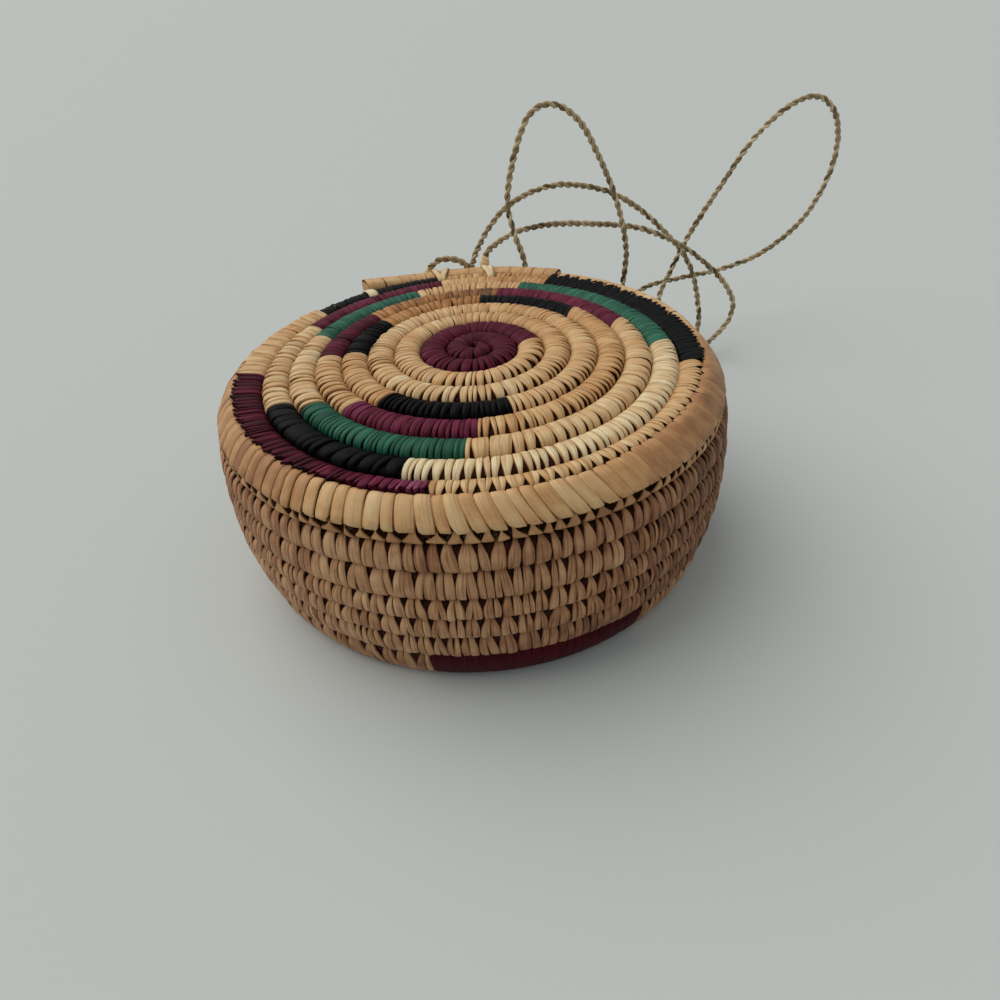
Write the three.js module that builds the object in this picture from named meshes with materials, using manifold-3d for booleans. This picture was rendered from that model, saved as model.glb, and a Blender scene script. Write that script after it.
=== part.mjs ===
// Round shoulder bag of coiled palm leaf, lying on its back panel with its mouth towards +Y.
// Millimetres, +Z up. The origin is on the surface that the bag lies on, under the bag's middle.

import * as THREE from 'three';
import { mergeVertices } from 'three/addons/utils/BufferGeometryUtils.js';
import Module from 'manifold-3d';

const wasm = await Module();
wasm.setup();

// Coil of the two round panels, one spiral each
const COIL_PITCH = 12.7;
const COIL_THICKNESS = 10;
const TURN_GAP = 0.5;
const TAPERED_END = 3;
const EYE_HOLE = 0.3;
const FIRST_EDGE_TURNS = 0.625;
const FIRST_TURN = -0.3;
const FRONT_PANEL_RADIUS = 112.7;
const BACK_PANEL_RADIUS = 106;
const FRONT_EYE_X = 3.2;
const FRONT_EYE_Y = -4;
const DOME_HEIGHT = 7.9;
const DOME_POWER = 2.5;

// Side of the bag, from the base coil up to the rim coil
const BODY_RADIUS = 125.9;
const SHOULDER_RADIUS = 122.9;
const BASE_COIL_OVERHANG = 7.3;
const WIDEST_HEIGHT = 52;
const BASE_DRAW_POWER = 2.2;
const BASE_COIL_HEIGHT = 18.8;
const COURSE_1_HEIGHT = 14.7;
const COURSE_2_HEIGHT = 11.9;
const COURSE_3_HEIGHT = 11.3;
const COURSE_4_HEIGHT = 14;
const COURSE_5_HEIGHT = 17.2;
const RIM_HEIGHT = 12.2;
const WALL_THICKNESS = 10.5;
const COURSE_CROWN = 1;
const RIM_CROWN = 3;
const BASE_COIL_CROWN = 2;

// Mouth, its two lips and the bound ends of the side courses
const MOUTH_HALF_ANGLE = THREE.MathUtils.degToRad(31);
const LIP_WIDTH = 13;
const LIP_THICKNESS = 9.5;
const LIP_END_GAP = 0.8;
const BACK_LIP_LIFT = 2.2;
const BINDING_WIDTH = 6;

// Strap ties and straps
const TIE_WIDTH = 8;
const TIE_THICKNESS = 1.2;
const TIE_CLEARANCE = 0.5;
const TIE_REACH = THREE.MathUtils.degToRad(125);
const KNOT_RADIUS = 4.2;
const KNOT_BITE = 0.2;
const LEFT_TIE_ANGLE = THREE.MathUtils.degToRad(-6.5);
const RIGHT_TIE_ANGLE = THREE.MathUtils.degToRad(9.2);
const FRONT_KNOT_TURN = THREE.MathUtils.degToRad(20);
const BACK_KNOT_TURN = THREE.MathUtils.degToRad(45);
const STRAP_DIAMETER = 5;
const STRAP_SIDES = 8;
const STRAP_STEP = 20;

// Clearance between neighbours, and how finely round shapes are faceted
const CLEARANCE = 0.3;
const STEPS_PER_TURN = 24;
const COIL_SIDES = 6;
const COURSE_SIDES = 8;
const TIE_STEPS = 18;
const KNOT_SIDES = 10;
const OVAL_POWER = 0.8;
const SHORTEST_STEP = 0.2;

// Wrapping colours
const NATURAL = 0xc9a67a;
const MAROON = 0x4a1f35;
const GREEN = 0x1f5a47;
const BLACK = 0x1b1c22;
const ROPE = 0x8a7a58;

// Dyed stretches of the front coil: first turn, last turn and colour.
// Turns are counted from the eye, clockwise seen from above, and whole turns lie towards +X.
const CENTRE_END_TURN = 2;
const DYED_STRETCHES = [
  [4.22, 4.38, 'black'], [4.52, 4.62, 'black'], [4.77, 4.91, 'black'],
  [5.26, 5.4, 'maroon'], [5.52, 5.63, 'maroon'], [5.79, 5.96, 'maroon'],
  [6.27, 6.43, 'green'], [6.57, 6.7, 'green'], [6.81, 7.01, 'green'],
  [7.31, 7.45, 'black'], [7.59, 7.73, 'maroon'], [7.83, 8.04, 'black'],
  [8.29, 8.51, 'maroon'], [8.62, 8.73, 'black'],
];
const DYES = { natural: NATURAL, maroon: MAROON, green: GREEN, black: BLACK };

// Dyed stretch of the base coil, as angles from +X
const BASE_DYE_START = THREE.MathUtils.degToRad(254.5);
const BASE_DYE_END = THREE.MathUtils.degToRad(302);

// Straps as they lie: from the front lip, up and over, down behind the bag and back to the back lip
const LEFT_STRAP_ROUTE = [
  [-14, 129, 104.5], [-11, 127.5, 106.8], [-5, 126.5, 108.2], [2, 127.5, 107], [8, 131, 102.5],
  [11, 138, 95.5], [14, 148, 91.5], [18.5, 156, 95], [26, 163, 103], [40, 171, 121],
  [54, 178, 128], [74, 184, 130], [95, 188, 126], [114, 190, 119], [134, 190, 106],
  [153, 188, 88], [167, 184, 72], [174, 180, 56], [178, 177, 38], [179.5, 175.5, 22],
  [175.5, 175.5, 9], [165, 177, 3.2], [154, 180, 9], [149.5, 183, 24], [151, 186, 42],
  [159, 190, 58], [173, 194, 84], [193, 197, 114], [216, 200, 145], [240, 203, 162],
  [256, 205, 164.5], [269, 207, 157], [278, 209, 140], [279, 211, 114], [266, 214, 80],
  [238, 216, 56], [208, 217, 46], [176, 217, 41], [145, 213, 33], [118, 203, 14],
  [95, 188, 3.6], [60, 166, 3], [28, 148, 3], [8, 138.5, 4.6], [-4, 131.5, 9.6], [-10, 125.5, 14.4],
];
const RIGHT_STRAP_ROUTE = [
  [21.5, 130, 105.8], [24.3, 133.2, 107.8], [31, 139.5, 109.4], [45, 150, 112.5], [59, 157, 113],
  [75, 163, 111], [101, 169, 106], [130, 173, 98], [160, 176, 83], [181, 176, 67],
  [197, 175, 50], [203.5, 173, 36], [200, 170, 24], [187, 165, 13], [166, 154, 4.6],
  [146, 145, 3], [129, 140.5, 4.6], [116, 141, 13], [111, 144.5, 32], [113.5, 149, 67],
  [116, 153, 91], [110, 157, 120], [99, 160, 147], [84, 161, 172], [68, 159, 181.5],
  [54.5, 155, 178], [43, 150, 156], [37, 143, 131], [40, 138.5, 113], [45.5, 135.5, 93],
  [41, 134.5, 65], [32, 132, 39], [24, 127.5, 25.2], [20.4, 122, 19.7],
];

const COURSE_HEIGHTS = [
  COURSE_1_HEIGHT, COURSE_2_HEIGHT, COURSE_3_HEIGHT, COURSE_4_HEIGHT, COURSE_5_HEIGHT,
];
const BASE_RADIUS = BACK_PANEL_RADIUS + BASE_COIL_OVERHANG;
const SHOULDER_Z = COURSE_HEIGHTS.reduce((sum, height) => sum + height, BASE_COIL_HEIGHT);
const PANEL_EDGE_Z = SHOULDER_Z + RIM_HEIGHT;
const TOP_Z = PANEL_EDGE_Z + DOME_HEIGHT;
const MOUTH_MIDDLE = Math.PI / 2;
const HALF_STEP = Math.PI / STEPS_PER_TURN;

// An inner polygon is drawn larger by this factor, so that its flats stay outside its circle.
const OUTSIDE = 1 / Math.cos(HALF_STEP);

function raised(value) {
  return Math.sign(value) * Math.abs(value) ** OVAL_POWER;
}

// Points of a softly squared oval around (0, 0), counter-clockwise, that fills its width and height.
function oval(halfWidth, halfHeight, sides, firstAngle) {
  const points = [];
  for (let i = 0; i < sides; i += 1) {
    const angle = firstAngle + (2 * Math.PI * i) / sides;
    points.push(new THREE.Vector2(raised(Math.cos(angle)), raised(Math.sin(angle))));
  }
  const widest = Math.max(...points.map((point) => point.x));
  const highest = Math.max(...points.map((point) => point.y));
  return points.map((point) => point.set((halfWidth * point.x) / widest, (halfHeight * point.y) / highest));
}

// Closed solid through a row of rings with equally many points, capped at both ends.
function sweep(rings) {
  const count = rings[0].length;
  const last = (rings.length - 1) * count;
  const triangles = [];
  for (let row = 0; row + 1 < rings.length; row += 1) {
    for (let i = 0; i < count; i += 1) {
      const a = row * count + i;
      const b = row * count + ((i + 1) % count);
      triangles.push([a, b, b + count], [a, b + count, a + count]);
    }
  }
  for (let i = 1; i + 1 < count; i += 1) {
    triangles.push([0, i + 1, i], [last, last + i, last + i + 1]);
  }
  const points = rings.flat();
  const volume = triangles.reduce((sum, [a, b, c]) => {
    return sum + points[a].dot(new THREE.Vector3().crossVectors(points[b], points[c]));
  }, 0);
  const outward = volume > 0 ? triangles : triangles.map(([a, b, c]) => [a, c, b]);
  const geometry = new THREE.BufferGeometry().setFromPoints(points);
  geometry.setIndex(outward.flat());
  return geometry;
}

function toSolid(geometry) {
  const bare = geometry.clone();
  bare.deleteAttribute('normal');
  bare.deleteAttribute('uv');
  const merged = mergeVertices(bare, 1e-5);
  return new wasm.Manifold(new wasm.Mesh({
    numProp: 3,
    vertProperties: new Float32Array(merged.attributes.position.array),
    triVerts: new Uint32Array(merged.index.array),
  }));
}

function join(first, second) {
  const mesh = toSolid(first).add(toSolid(second)).getMesh();
  const geometry = new THREE.BufferGeometry();
  geometry.setAttribute('position', new THREE.BufferAttribute(mesh.vertProperties, 3));
  geometry.setIndex(new THREE.BufferAttribute(mesh.triVerts, 1));
  return geometry;
}

const bag = new THREE.Group();

function addPiece(name, geometry, color) {
  geometry.computeVertexNormals();
  const material = new THREE.MeshStandardMaterial({ color, roughness: 0.75, metalness: 0 });
  const mesh = new THREE.Mesh(geometry, material);
  mesh.name = name;
  bag.add(mesh);
}

// Panels

function domeTop(radius) {
  return TOP_Z - DOME_HEIGHT * (radius / FRONT_PANEL_RADIUS) ** DOME_POWER;
}

function flatTop() {
  return COIL_THICKNESS;
}

const FRONT_EYE = new THREE.Vector2(FRONT_EYE_X, FRONT_EYE_Y);
const BACK_EYE = new THREE.Vector2(0, 0);
const FRONT_PANEL = { eye: FRONT_EYE, radius: FRONT_PANEL_RADIUS, top: domeTop };
const BACK_PANEL = { eye: BACK_EYE, radius: BACK_PANEL_RADIUS, top: flatTop };

function spiralEdge(turn) {
  return COIL_PITCH * (turn + FIRST_EDGE_TURNS);
}

// Inner and outer edge of a panel's coil, as distances from its eye.
// The panel's round edge trims the last turn.
function coilEdges(panel, turn) {
  const angle = -2 * Math.PI * turn;
  const direction = new THREE.Vector2(Math.cos(angle), Math.sin(angle));
  const along = panel.eye.dot(direction);
  const edge = Math.sqrt(along ** 2 - panel.eye.lengthSq() + panel.radius ** 2) - along;
  const inner = Math.max(spiralEdge(turn - 1) + TURN_GAP / 2, EYE_HOLE);
  const outer = Math.min(spiralEdge(turn) - TURN_GAP / 2, edge);
  return { direction, inner, outer };
}

function coilRing(panel, turn) {
  const { direction, inner, outer } = coilEdges(panel, turn);
  const middle = direction.clone().multiplyScalar((inner + outer) / 2).add(panel.eye);
  const height = panel.top(middle.length()) - COIL_THICKNESS / 2;
  return oval((outer - inner) / 2, COIL_THICKNESS / 2, COIL_SIDES, 0).map((point) => new THREE.Vector3(
    middle.x + direction.x * point.x,
    middle.y + direction.y * point.x,
    height + point.y,
  ));
}

// Last turn at which the coil is still as wide as its tapered end.
function lastTurn(panel) {
  let turn = CENTRE_END_TURN;
  let edges = coilEdges(panel, turn);
  while (edges.outer - edges.inner >= TAPERED_END) {
    turn += 1 / STEPS_PER_TURN;
    edges = coilEdges(panel, turn);
  }
  return turn - 1 / STEPS_PER_TURN;
}

// Stretch of coil between two turns, with a small gap to its neighbours.
function coilStretch(panel, fromTurn, toTurn) {
  const gapTurns = (turn) => CLEARANCE / 2 / (2 * Math.PI * Math.max(spiralEdge(turn - 0.5), COIL_PITCH / 2));
  const start = fromTurn + gapTurns(fromTurn);
  const end = toTurn - gapTurns(toTurn);
  const turns = [start];
  for (let step = Math.floor(start * STEPS_PER_TURN) + 1; step < end * STEPS_PER_TURN; step += 1) {
    turns.push(step / STEPS_PER_TURN);
  }
  turns.push(end);
  const spaced = turns.filter((turn, i) => i === 0 || i === turns.length - 1
    || Math.min(turn - start, end - turn) > SHORTEST_STEP / STEPS_PER_TURN);
  return sweep(spaced.map((turn) => coilRing(panel, turn)));
}

addPiece('front_centre_coil', coilStretch(FRONT_PANEL, FIRST_TURN, CENTRE_END_TURN), MAROON);

const counts = {};
function addFrontStretch(fromTurn, toTurn, dye) {
  counts[dye] = (counts[dye] ?? 0) + 1;
  addPiece(`front_coil_${dye}_${counts[dye]}`, coilStretch(FRONT_PANEL, fromTurn, toTurn), DYES[dye]);
}

let reached = CENTRE_END_TURN;
for (const [fromTurn, toTurn, dye] of DYED_STRETCHES) {
  addFrontStretch(reached, fromTurn, 'natural');
  addFrontStretch(fromTurn, toTurn, dye);
  reached = toTurn;
}
addFrontStretch(reached, lastTurn(FRONT_PANEL), 'natural');

addPiece('back_centre_coil', coilStretch(BACK_PANEL, FIRST_TURN, CENTRE_END_TURN), MAROON);
addPiece('back_panel_coil', coilStretch(BACK_PANEL, CENTRE_END_TURN, lastTurn(BACK_PANEL)), NATURAL);

// Side courses, rim coil and base coil

function wallRadius(height) {
  if (height > WIDEST_HEIGHT) {
    const share = (height - WIDEST_HEIGHT) / (SHOULDER_Z - WIDEST_HEIGHT);
    return BODY_RADIUS - (BODY_RADIUS - SHOULDER_RADIUS) * share ** 2;
  }
  const share = (WIDEST_HEIGHT - height) / WIDEST_HEIGHT;
  return BODY_RADIUS - (BODY_RADIUS - BASE_RADIUS) * share ** BASE_DRAW_POWER;
}

// Oval section of a course between two points (radius, height) of the bag's outer line.
function courseSection(low, high, crown) {
  const up = high.clone().sub(low);
  const halfLength = up.length() / 2 - CLEARANCE / 2;
  up.normalize();
  const out = new THREE.Vector2(up.y, -up.x);
  const centre = low.clone().add(high).multiplyScalar(0.5).addScaledVector(out, crown - WALL_THICKNESS / 2);
  return oval(WALL_THICKNESS / 2, halfLength, COURSE_SIDES, Math.PI / COURSE_SIDES).map((point) => {
    return centre.clone().addScaledVector(out, point.x).addScaledVector(up, point.y);
  });
}

// Section kept outside a lowest radius and between two heights, where it meets its neighbours.
function trimmed(section, innerRadius, lowest, highest) {
  return section.map((point) => new THREE.Vector2(
    Math.max(point.x, innerRadius),
    Math.min(Math.max(point.y, lowest), highest),
  ));
}

function arc(section, fromAngle, toAngle) {
  const steps = 2 * Math.ceil((toAngle - fromAngle) / (4 * HALF_STEP));
  const rings = [];
  for (let i = 0; i <= steps; i += 1) {
    const angle = fromAngle + ((toAngle - fromAngle) * i) / steps;
    rings.push(section.map(({ x, y }) => new THREE.Vector3(x * Math.cos(angle), x * Math.sin(angle), y)));
  }
  return sweep(rings);
}

const MOUTH_LEFT = MOUTH_MIDDLE + MOUTH_HALF_ANGLE;
const MOUTH_RIGHT = MOUTH_MIDDLE - MOUTH_HALF_ANGLE + 2 * Math.PI;
const BINDING_ANGLE = BINDING_WIDTH / BODY_RADIUS;
const COURSE_END_ANGLE = BINDING_ANGLE + CLEARANCE / (BODY_RADIUS - WALL_THICKNESS);

let courseBottom = BASE_COIL_HEIGHT;
COURSE_HEIGHTS.forEach((height, i) => {
  const low = new THREE.Vector2(wallRadius(courseBottom), courseBottom);
  const high = new THREE.Vector2(wallRadius(courseBottom + height), courseBottom + height);
  const between = [low.y + CLEARANCE / 2, high.y - CLEARANCE / 2];
  const section = trimmed(courseSection(low, high, COURSE_CROWN), 0, ...between);
  const course = arc(section, MOUTH_LEFT + COURSE_END_ANGLE, MOUTH_RIGHT - COURSE_END_ANGLE);
  addPiece(`side_course_${i + 1}`, course, NATURAL);
  courseBottom += height;
});

const rimSection = trimmed(
  courseSection(
    new THREE.Vector2(SHOULDER_RADIUS, SHOULDER_Z),
    new THREE.Vector2(FRONT_PANEL_RADIUS, PANEL_EDGE_Z),
    RIM_CROWN,
  ),
  (FRONT_PANEL_RADIUS + CLEARANCE) * OUTSIDE,
  SHOULDER_Z + CLEARANCE / 2,
  Infinity,
);
addPiece('front_rim_coil', arc(rimSection, MOUTH_LEFT, MOUTH_RIGHT), NATURAL);

const baseSection = trimmed(
  courseSection(
    new THREE.Vector2(BASE_RADIUS, 0),
    new THREE.Vector2(wallRadius(BASE_COIL_HEIGHT), BASE_COIL_HEIGHT),
    BASE_COIL_CROWN,
  ),
  (BACK_PANEL_RADIUS + CLEARANCE) * OUTSIDE,
  0,
  BASE_COIL_HEIGHT - CLEARANCE / 2,
);
const BASE_JOINT_ANGLE = CLEARANCE / BASE_RADIUS;
addPiece('base_coil_left', arc(baseSection, MOUTH_LEFT, BASE_DYE_START - BASE_JOINT_ANGLE), NATURAL);
addPiece('base_coil_maroon', arc(baseSection, BASE_DYE_START, BASE_DYE_END), MAROON);
addPiece('base_coil_right', arc(baseSection, BASE_DYE_END + BASE_JOINT_ANGLE, MOUTH_RIGHT), NATURAL);

// Bound ends of the side courses at the mouth

function endBinding(fromAngle, toAngle) {
  const lowest = BASE_COIL_HEIGHT + CLEARANCE / 2;
  const highest = SHOULDER_Z - CLEARANCE / 2;
  const steps = COURSE_HEIGHTS.length;
  const rings = [];
  for (let i = 0; i <= steps; i += 1) {
    const height = lowest + ((highest - lowest) * i) / steps;
    const outer = wallRadius(height);
    const inner = outer - WALL_THICKNESS;
    const corners = [[inner, fromAngle], [outer, fromAngle], [outer, toAngle], [inner, toAngle]];
    rings.push(corners.map(([radius, angle]) => new THREE.Vector3(
      radius * Math.cos(angle),
      radius * Math.sin(angle),
      height,
    )));
  }
  return sweep(rings);
}

addPiece('mouth_binding_left', endBinding(MOUTH_LEFT, MOUTH_LEFT + BINDING_ANGLE), NATURAL);
addPiece('mouth_binding_right', endBinding(MOUTH_RIGHT - BINDING_ANGLE, MOUTH_RIGHT), NATURAL);

// Lips

const FRONT_LIP_CENTRE = new THREE.Vector2(
  (FRONT_PANEL_RADIUS + CLEARANCE) * OUTSIDE + LIP_WIDTH / 2,
  PANEL_EDGE_Z - LIP_THICKNESS / 2,
);
const BACK_LIP_CENTRE = new THREE.Vector2(
  (BACK_PANEL_RADIUS + CLEARANCE) * OUTSIDE + LIP_WIDTH / 2,
  BACK_LIP_LIFT + LIP_THICKNESS / 2,
);

function lip(centre) {
  const section = oval(LIP_WIDTH / 2, LIP_THICKNESS / 2, COURSE_SIDES, Math.PI / COURSE_SIDES);
  section.forEach((point) => point.add(centre));
  const halfAngle = MOUTH_HALF_ANGLE - LIP_END_GAP / (centre.x - LIP_WIDTH / 2);
  return arc(section, MOUTH_MIDDLE - halfAngle, MOUTH_MIDDLE + halfAngle);
}

addPiece('front_lip_coil', lip(FRONT_LIP_CENTRE), NATURAL);
addPiece('back_lip_coil', lip(BACK_LIP_CENTRE), NATURAL);

// Strap ties: a strip of leaf folded round the outside of the lip, with a knot on it

// Smooth oval that passes through the corners of the lip's faceted section.
const LIP_CORNER = 1 / raised(Math.cos(Math.PI / COURSE_SIDES));

// Place at a distance off the lip's skin, at a turn of its section, for a tie at an angle from +Y.
function offLip(centre, turn, distance, tieAngle, sideways) {
  const x = ((LIP_CORNER * LIP_WIDTH) / 2) * raised(Math.cos(turn)) + distance * Math.cos(turn);
  const z = ((LIP_CORNER * LIP_THICKNESS) / 2) * raised(Math.sin(turn)) + distance * Math.sin(turn);
  const radius = centre.x + x;
  return new THREE.Vector3(
    radius * Math.sin(tieAngle) + sideways * Math.cos(tieAngle),
    radius * Math.cos(tieAngle) - sideways * Math.sin(tieAngle),
    centre.y + z,
  );
}

function strapTie(centre, tieAngle, knotTurn) {
  const near = TIE_CLEARANCE;
  const far = TIE_CLEARANCE + TIE_THICKNESS;
  const rings = [];
  for (let i = 0; i <= TIE_STEPS; i += 1) {
    const turn = TIE_REACH * ((2 * i) / TIE_STEPS - 1);
    rings.push([
      offLip(centre, turn, near, tieAngle, -TIE_WIDTH / 2),
      offLip(centre, turn, far, tieAngle, -TIE_WIDTH / 2),
      offLip(centre, turn, far, tieAngle, TIE_WIDTH / 2),
      offLip(centre, turn, near, tieAngle, TIE_WIDTH / 2),
    ]);
  }
  const knot = new THREE.SphereGeometry(KNOT_RADIUS, KNOT_SIDES, KNOT_SIDES - 2);
  const place = offLip(centre, knotTurn, KNOT_RADIUS + TIE_CLEARANCE + KNOT_BITE, tieAngle, 0);
  knot.translate(place.x, place.y, place.z);
  return join(sweep(rings), knot);
}

addPiece('front_tie_left', strapTie(FRONT_LIP_CENTRE, LEFT_TIE_ANGLE, FRONT_KNOT_TURN), NATURAL);
addPiece('front_tie_right', strapTie(FRONT_LIP_CENTRE, RIGHT_TIE_ANGLE, FRONT_KNOT_TURN), NATURAL);
addPiece('back_tie_left', strapTie(BACK_LIP_CENTRE, LEFT_TIE_ANGLE, BACK_KNOT_TURN), NATURAL);
addPiece('back_tie_right', strapTie(BACK_LIP_CENTRE, RIGHT_TIE_ANGLE, BACK_KNOT_TURN), NATURAL);

// Straps of twisted palm rope

function strap(route) {
  const points = route.map(([x, y, z]) => new THREE.Vector3(x, y, z));
  const path = new THREE.CatmullRomCurve3(points, false, 'centripetal');
  const outline = [];
  for (let i = 0; i < STRAP_SIDES; i += 1) {
    const angle = (2 * Math.PI * i) / STRAP_SIDES;
    outline.push(new THREE.Vector2(Math.cos(angle), Math.sin(angle)).multiplyScalar(STRAP_DIAMETER / 2));
  }
  return new THREE.ExtrudeGeometry(new THREE.Shape(outline), {
    steps: Math.round(path.getLength() / STRAP_STEP),
    extrudePath: path,
    bevelEnabled: false,
  });
}

addPiece('left_strap', strap(LEFT_STRAP_ROUTE), ROPE);
addPiece('right_strap', strap(RIGHT_STRAP_ROUTE), ROPE);

export default bag;
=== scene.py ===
"""Round shoulder bag of coiled palm leaf, lying on its back panel with its mouth away from the camera.

A core of straw is wound in a spiral and in courses, and strips of leaf are wrapped round it and sewn to the
turn before. Every strip is modelled. Sizes are millimetres until a mesh is made, and repeat the part's own.
"""
from typing import NamedTuple
import bpy
import numpy as np
from mathutils import Matrix, Vector


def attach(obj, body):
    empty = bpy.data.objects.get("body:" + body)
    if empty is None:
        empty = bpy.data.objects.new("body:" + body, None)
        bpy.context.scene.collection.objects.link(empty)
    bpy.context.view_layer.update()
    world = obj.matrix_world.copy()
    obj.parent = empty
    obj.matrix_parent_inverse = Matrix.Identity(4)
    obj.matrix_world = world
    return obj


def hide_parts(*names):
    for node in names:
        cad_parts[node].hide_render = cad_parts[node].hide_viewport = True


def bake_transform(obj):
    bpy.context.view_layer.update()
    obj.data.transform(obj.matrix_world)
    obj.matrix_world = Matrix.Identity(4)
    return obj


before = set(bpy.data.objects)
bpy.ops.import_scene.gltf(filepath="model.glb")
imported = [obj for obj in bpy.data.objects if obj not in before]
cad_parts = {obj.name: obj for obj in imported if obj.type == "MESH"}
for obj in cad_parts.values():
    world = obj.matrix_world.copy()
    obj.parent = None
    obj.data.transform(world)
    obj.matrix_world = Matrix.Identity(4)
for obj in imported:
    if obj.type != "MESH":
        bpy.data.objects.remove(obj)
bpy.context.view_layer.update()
MM = 0.001
chance = np.random.default_rng(41)

# Panels
COIL_PITCH = 12.7
COIL_THICKNESS = 10.0
TURN_GAP = 0.5
EYE_HOLE = 0.3
FIRST_EDGE_TURNS = 0.625
FIRST_TURN = -0.3
CENTRE_END_TURN = 2.0
FRONT_PANEL_RADIUS = 112.7
BACK_PANEL_RADIUS = 106.0
FRONT_EYE = np.array([3.2, -4.0])
BACK_EYE = np.array([0.0, 0.0])
DOME_HEIGHT = 7.9
DOME_POWER = 2.5
TAPERED_END = 3.0

# Side
BODY_RADIUS = 125.9
SHOULDER_RADIUS = 122.9
BASE_RADIUS = 113.3
WIDEST_HEIGHT = 52.0
BASE_DRAW_POWER = 2.2
BASE_COIL_HEIGHT = 18.8
COURSE_HEIGHTS = [14.7, 11.9, 11.3, 14.0, 17.2]
RIM_HEIGHT = 12.2
WALL_THICKNESS = 10.5
COURSE_CROWN = 1.0
BASE_COIL_CROWN = 2.0
SHOULDER_Z = BASE_COIL_HEIGHT + sum(COURSE_HEIGHTS)
TOP_Z = SHOULDER_Z + RIM_HEIGHT + DOME_HEIGHT

# Mouth
MOUTH_HALF_ANGLE = np.radians(31)
MOUTH_LEFT = np.pi / 2 + MOUTH_HALF_ANGLE
MOUTH_RIGHT = np.pi / 2 - MOUTH_HALF_ANGLE + 2 * np.pi
BINDING_WIDTH = 6.0
COURSE_END_ANGLE = BINDING_WIDTH / BODY_RADIUS
LIP_WIDTH = 13.0
LIP_THICKNESS = 9.5
LIP_END_ANGLE = np.radians(0.4)
FRONT_LIP = np.array([120.5, 95.35])
BACK_LIP = np.array([113.7, 6.95])

# Dyed stretches of the front coil, in turns, and of the base coil, as angles from +X
DYED_STRETCHES = [
    (4.22, 4.38, "black"), (4.52, 4.62, "black"), (4.77, 4.91, "black"),
    (5.26, 5.40, "maroon"), (5.52, 5.63, "maroon"), (5.79, 5.96, "maroon"),
    (6.27, 6.43, "green"), (6.57, 6.70, "green"), (6.81, 7.01, "green"),
    (7.31, 7.45, "black"), (7.59, 7.73, "maroon"), (7.83, 8.04, "black"),
    (8.29, 8.51, "maroon"), (8.62, 8.73, "black"),
]
BASE_DYE_START = np.radians(254.5)
BASE_DYE_END = np.radians(302)

# Ropes
ROPE_DIAMETER = 5.0
ROPE_LAY = 10.8
LEFT_ROUTE = [
    (-15.8, 130, 99.6), (-13.2, 129, 102), (-9.3, 128, 104.7), (-4.9, 127.5, 105.4), (-0.7, 127.5, 104.8),
    (3.9, 128.5, 102.5), (7.6, 131.5, 98.5), (10, 138, 94.3), (12.3, 146, 94), (15, 153, 97.6),
    (19, 160, 101.6), (24.4, 166, 107.8), (36.5, 171, 119), (54, 178, 126), (74, 184, 128.2),
    (95, 188, 124.8), (114, 190, 118), (134, 190, 105.5), (153, 188, 88), (167, 184, 72), (174, 180, 56),
    (178, 177, 38), (179.5, 175.5, 22), (175.5, 175.5, 9), (165, 177, 3.2), (154, 180, 9), (149.5, 183, 24),
    (151, 186, 42), (159, 190, 58), (173, 194, 84), (193, 197, 114), (216, 200, 145), (240, 203, 162),
    (256, 205, 164.5), (269, 207, 157), (278, 209, 140), (279, 211, 114), (266, 214, 80), (238, 216, 56),
    (208, 217, 46), (176, 217, 42), (145, 213, 37.5), (118, 203, 19), (95, 188, 5), (60, 166, 3),
    (28, 148, 3), (8, 138.5, 4.6), (-4, 131.5, 9.6), (-10, 125.5, 14.4),
]
RIGHT_ROUTE = [
    (19.7, 130.5, 103.2), (22, 133.2, 105.2), (27, 139.5, 107), (41, 150, 110.2), (59, 157, 110.8),
    (75, 163, 109), (101, 169, 104.6), (130, 173, 98), (160, 176, 83), (181, 176, 67), (197, 175, 50),
    (203.5, 173, 36), (200, 170, 24), (187, 165, 13), (166, 154, 4.6), (146, 145, 3), (129, 140.5, 4.6),
    (116, 141, 13), (111, 144.5, 32), (113.5, 149, 67), (116, 153, 91), (110, 157, 120), (99, 160, 147),
    (84, 161, 172), (68, 159, 181.5), (54.5, 155, 178), (43, 150, 156), (37, 143, 131), (40, 138.5, 113),
    (45.5, 135.5, 93), (41, 134.5, 65), (32, 132, 39), (24, 127.5, 25.2), (20.4, 122, 19.7),
]
# Two points for each rope, in metres
LEFT_CHANGE = (0.0109, 0.158, 0.0832), (-0.005, 0.129, 0.102)
RIGHT_CHANGE = (0.0371, 0.1381, 0.0976), (0.02, 0.1305, 0.103)


# Camera

CAMERA_PLACE = Vector((-9.84, -338.15, 266.2))
CAMERA_YAW = 0.0588
CAMERA_PITCH = 0.6481
CAMERA_ROLL = -0.0747
CAMERA_LENS = 27.0
SENSOR_WIDTH = 36.0
CLIP_START = 10.0


def add_camera():
    """Camera turned by its yaw about the vertical, tipped down by its pitch and rolled about its sight."""
    data = bpy.data.cameras.new("camera")
    data.lens = CAMERA_LENS
    data.sensor_width = SENSOR_WIDTH
    data.clip_start = CLIP_START * MM
    camera = bpy.data.objects.new("camera", data)
    bpy.context.scene.collection.objects.link(camera)
    camera.matrix_world = (
        Matrix.Translation(CAMERA_PLACE * MM) @ Matrix.Rotation(-CAMERA_YAW, 4, "Z")
        @ Matrix.Rotation(np.pi / 2 - CAMERA_PITCH, 4, "X") @ Matrix.Rotation(CAMERA_ROLL, 4, "Z"))
    bpy.context.scene.camera = camera


# Materials

def linear(hex_colour):
    """Linear colour of an sRGB hex value."""
    srgb = np.array([int(hex_colour[i:i + 2], 16) for i in (1, 3, 5)]) / 255
    value = np.where(srgb <= 0.04045, srgb / 12.92, ((srgb + 0.055) / 1.055) ** 2.4)
    return (*value.tolist(), 1.0)


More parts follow.
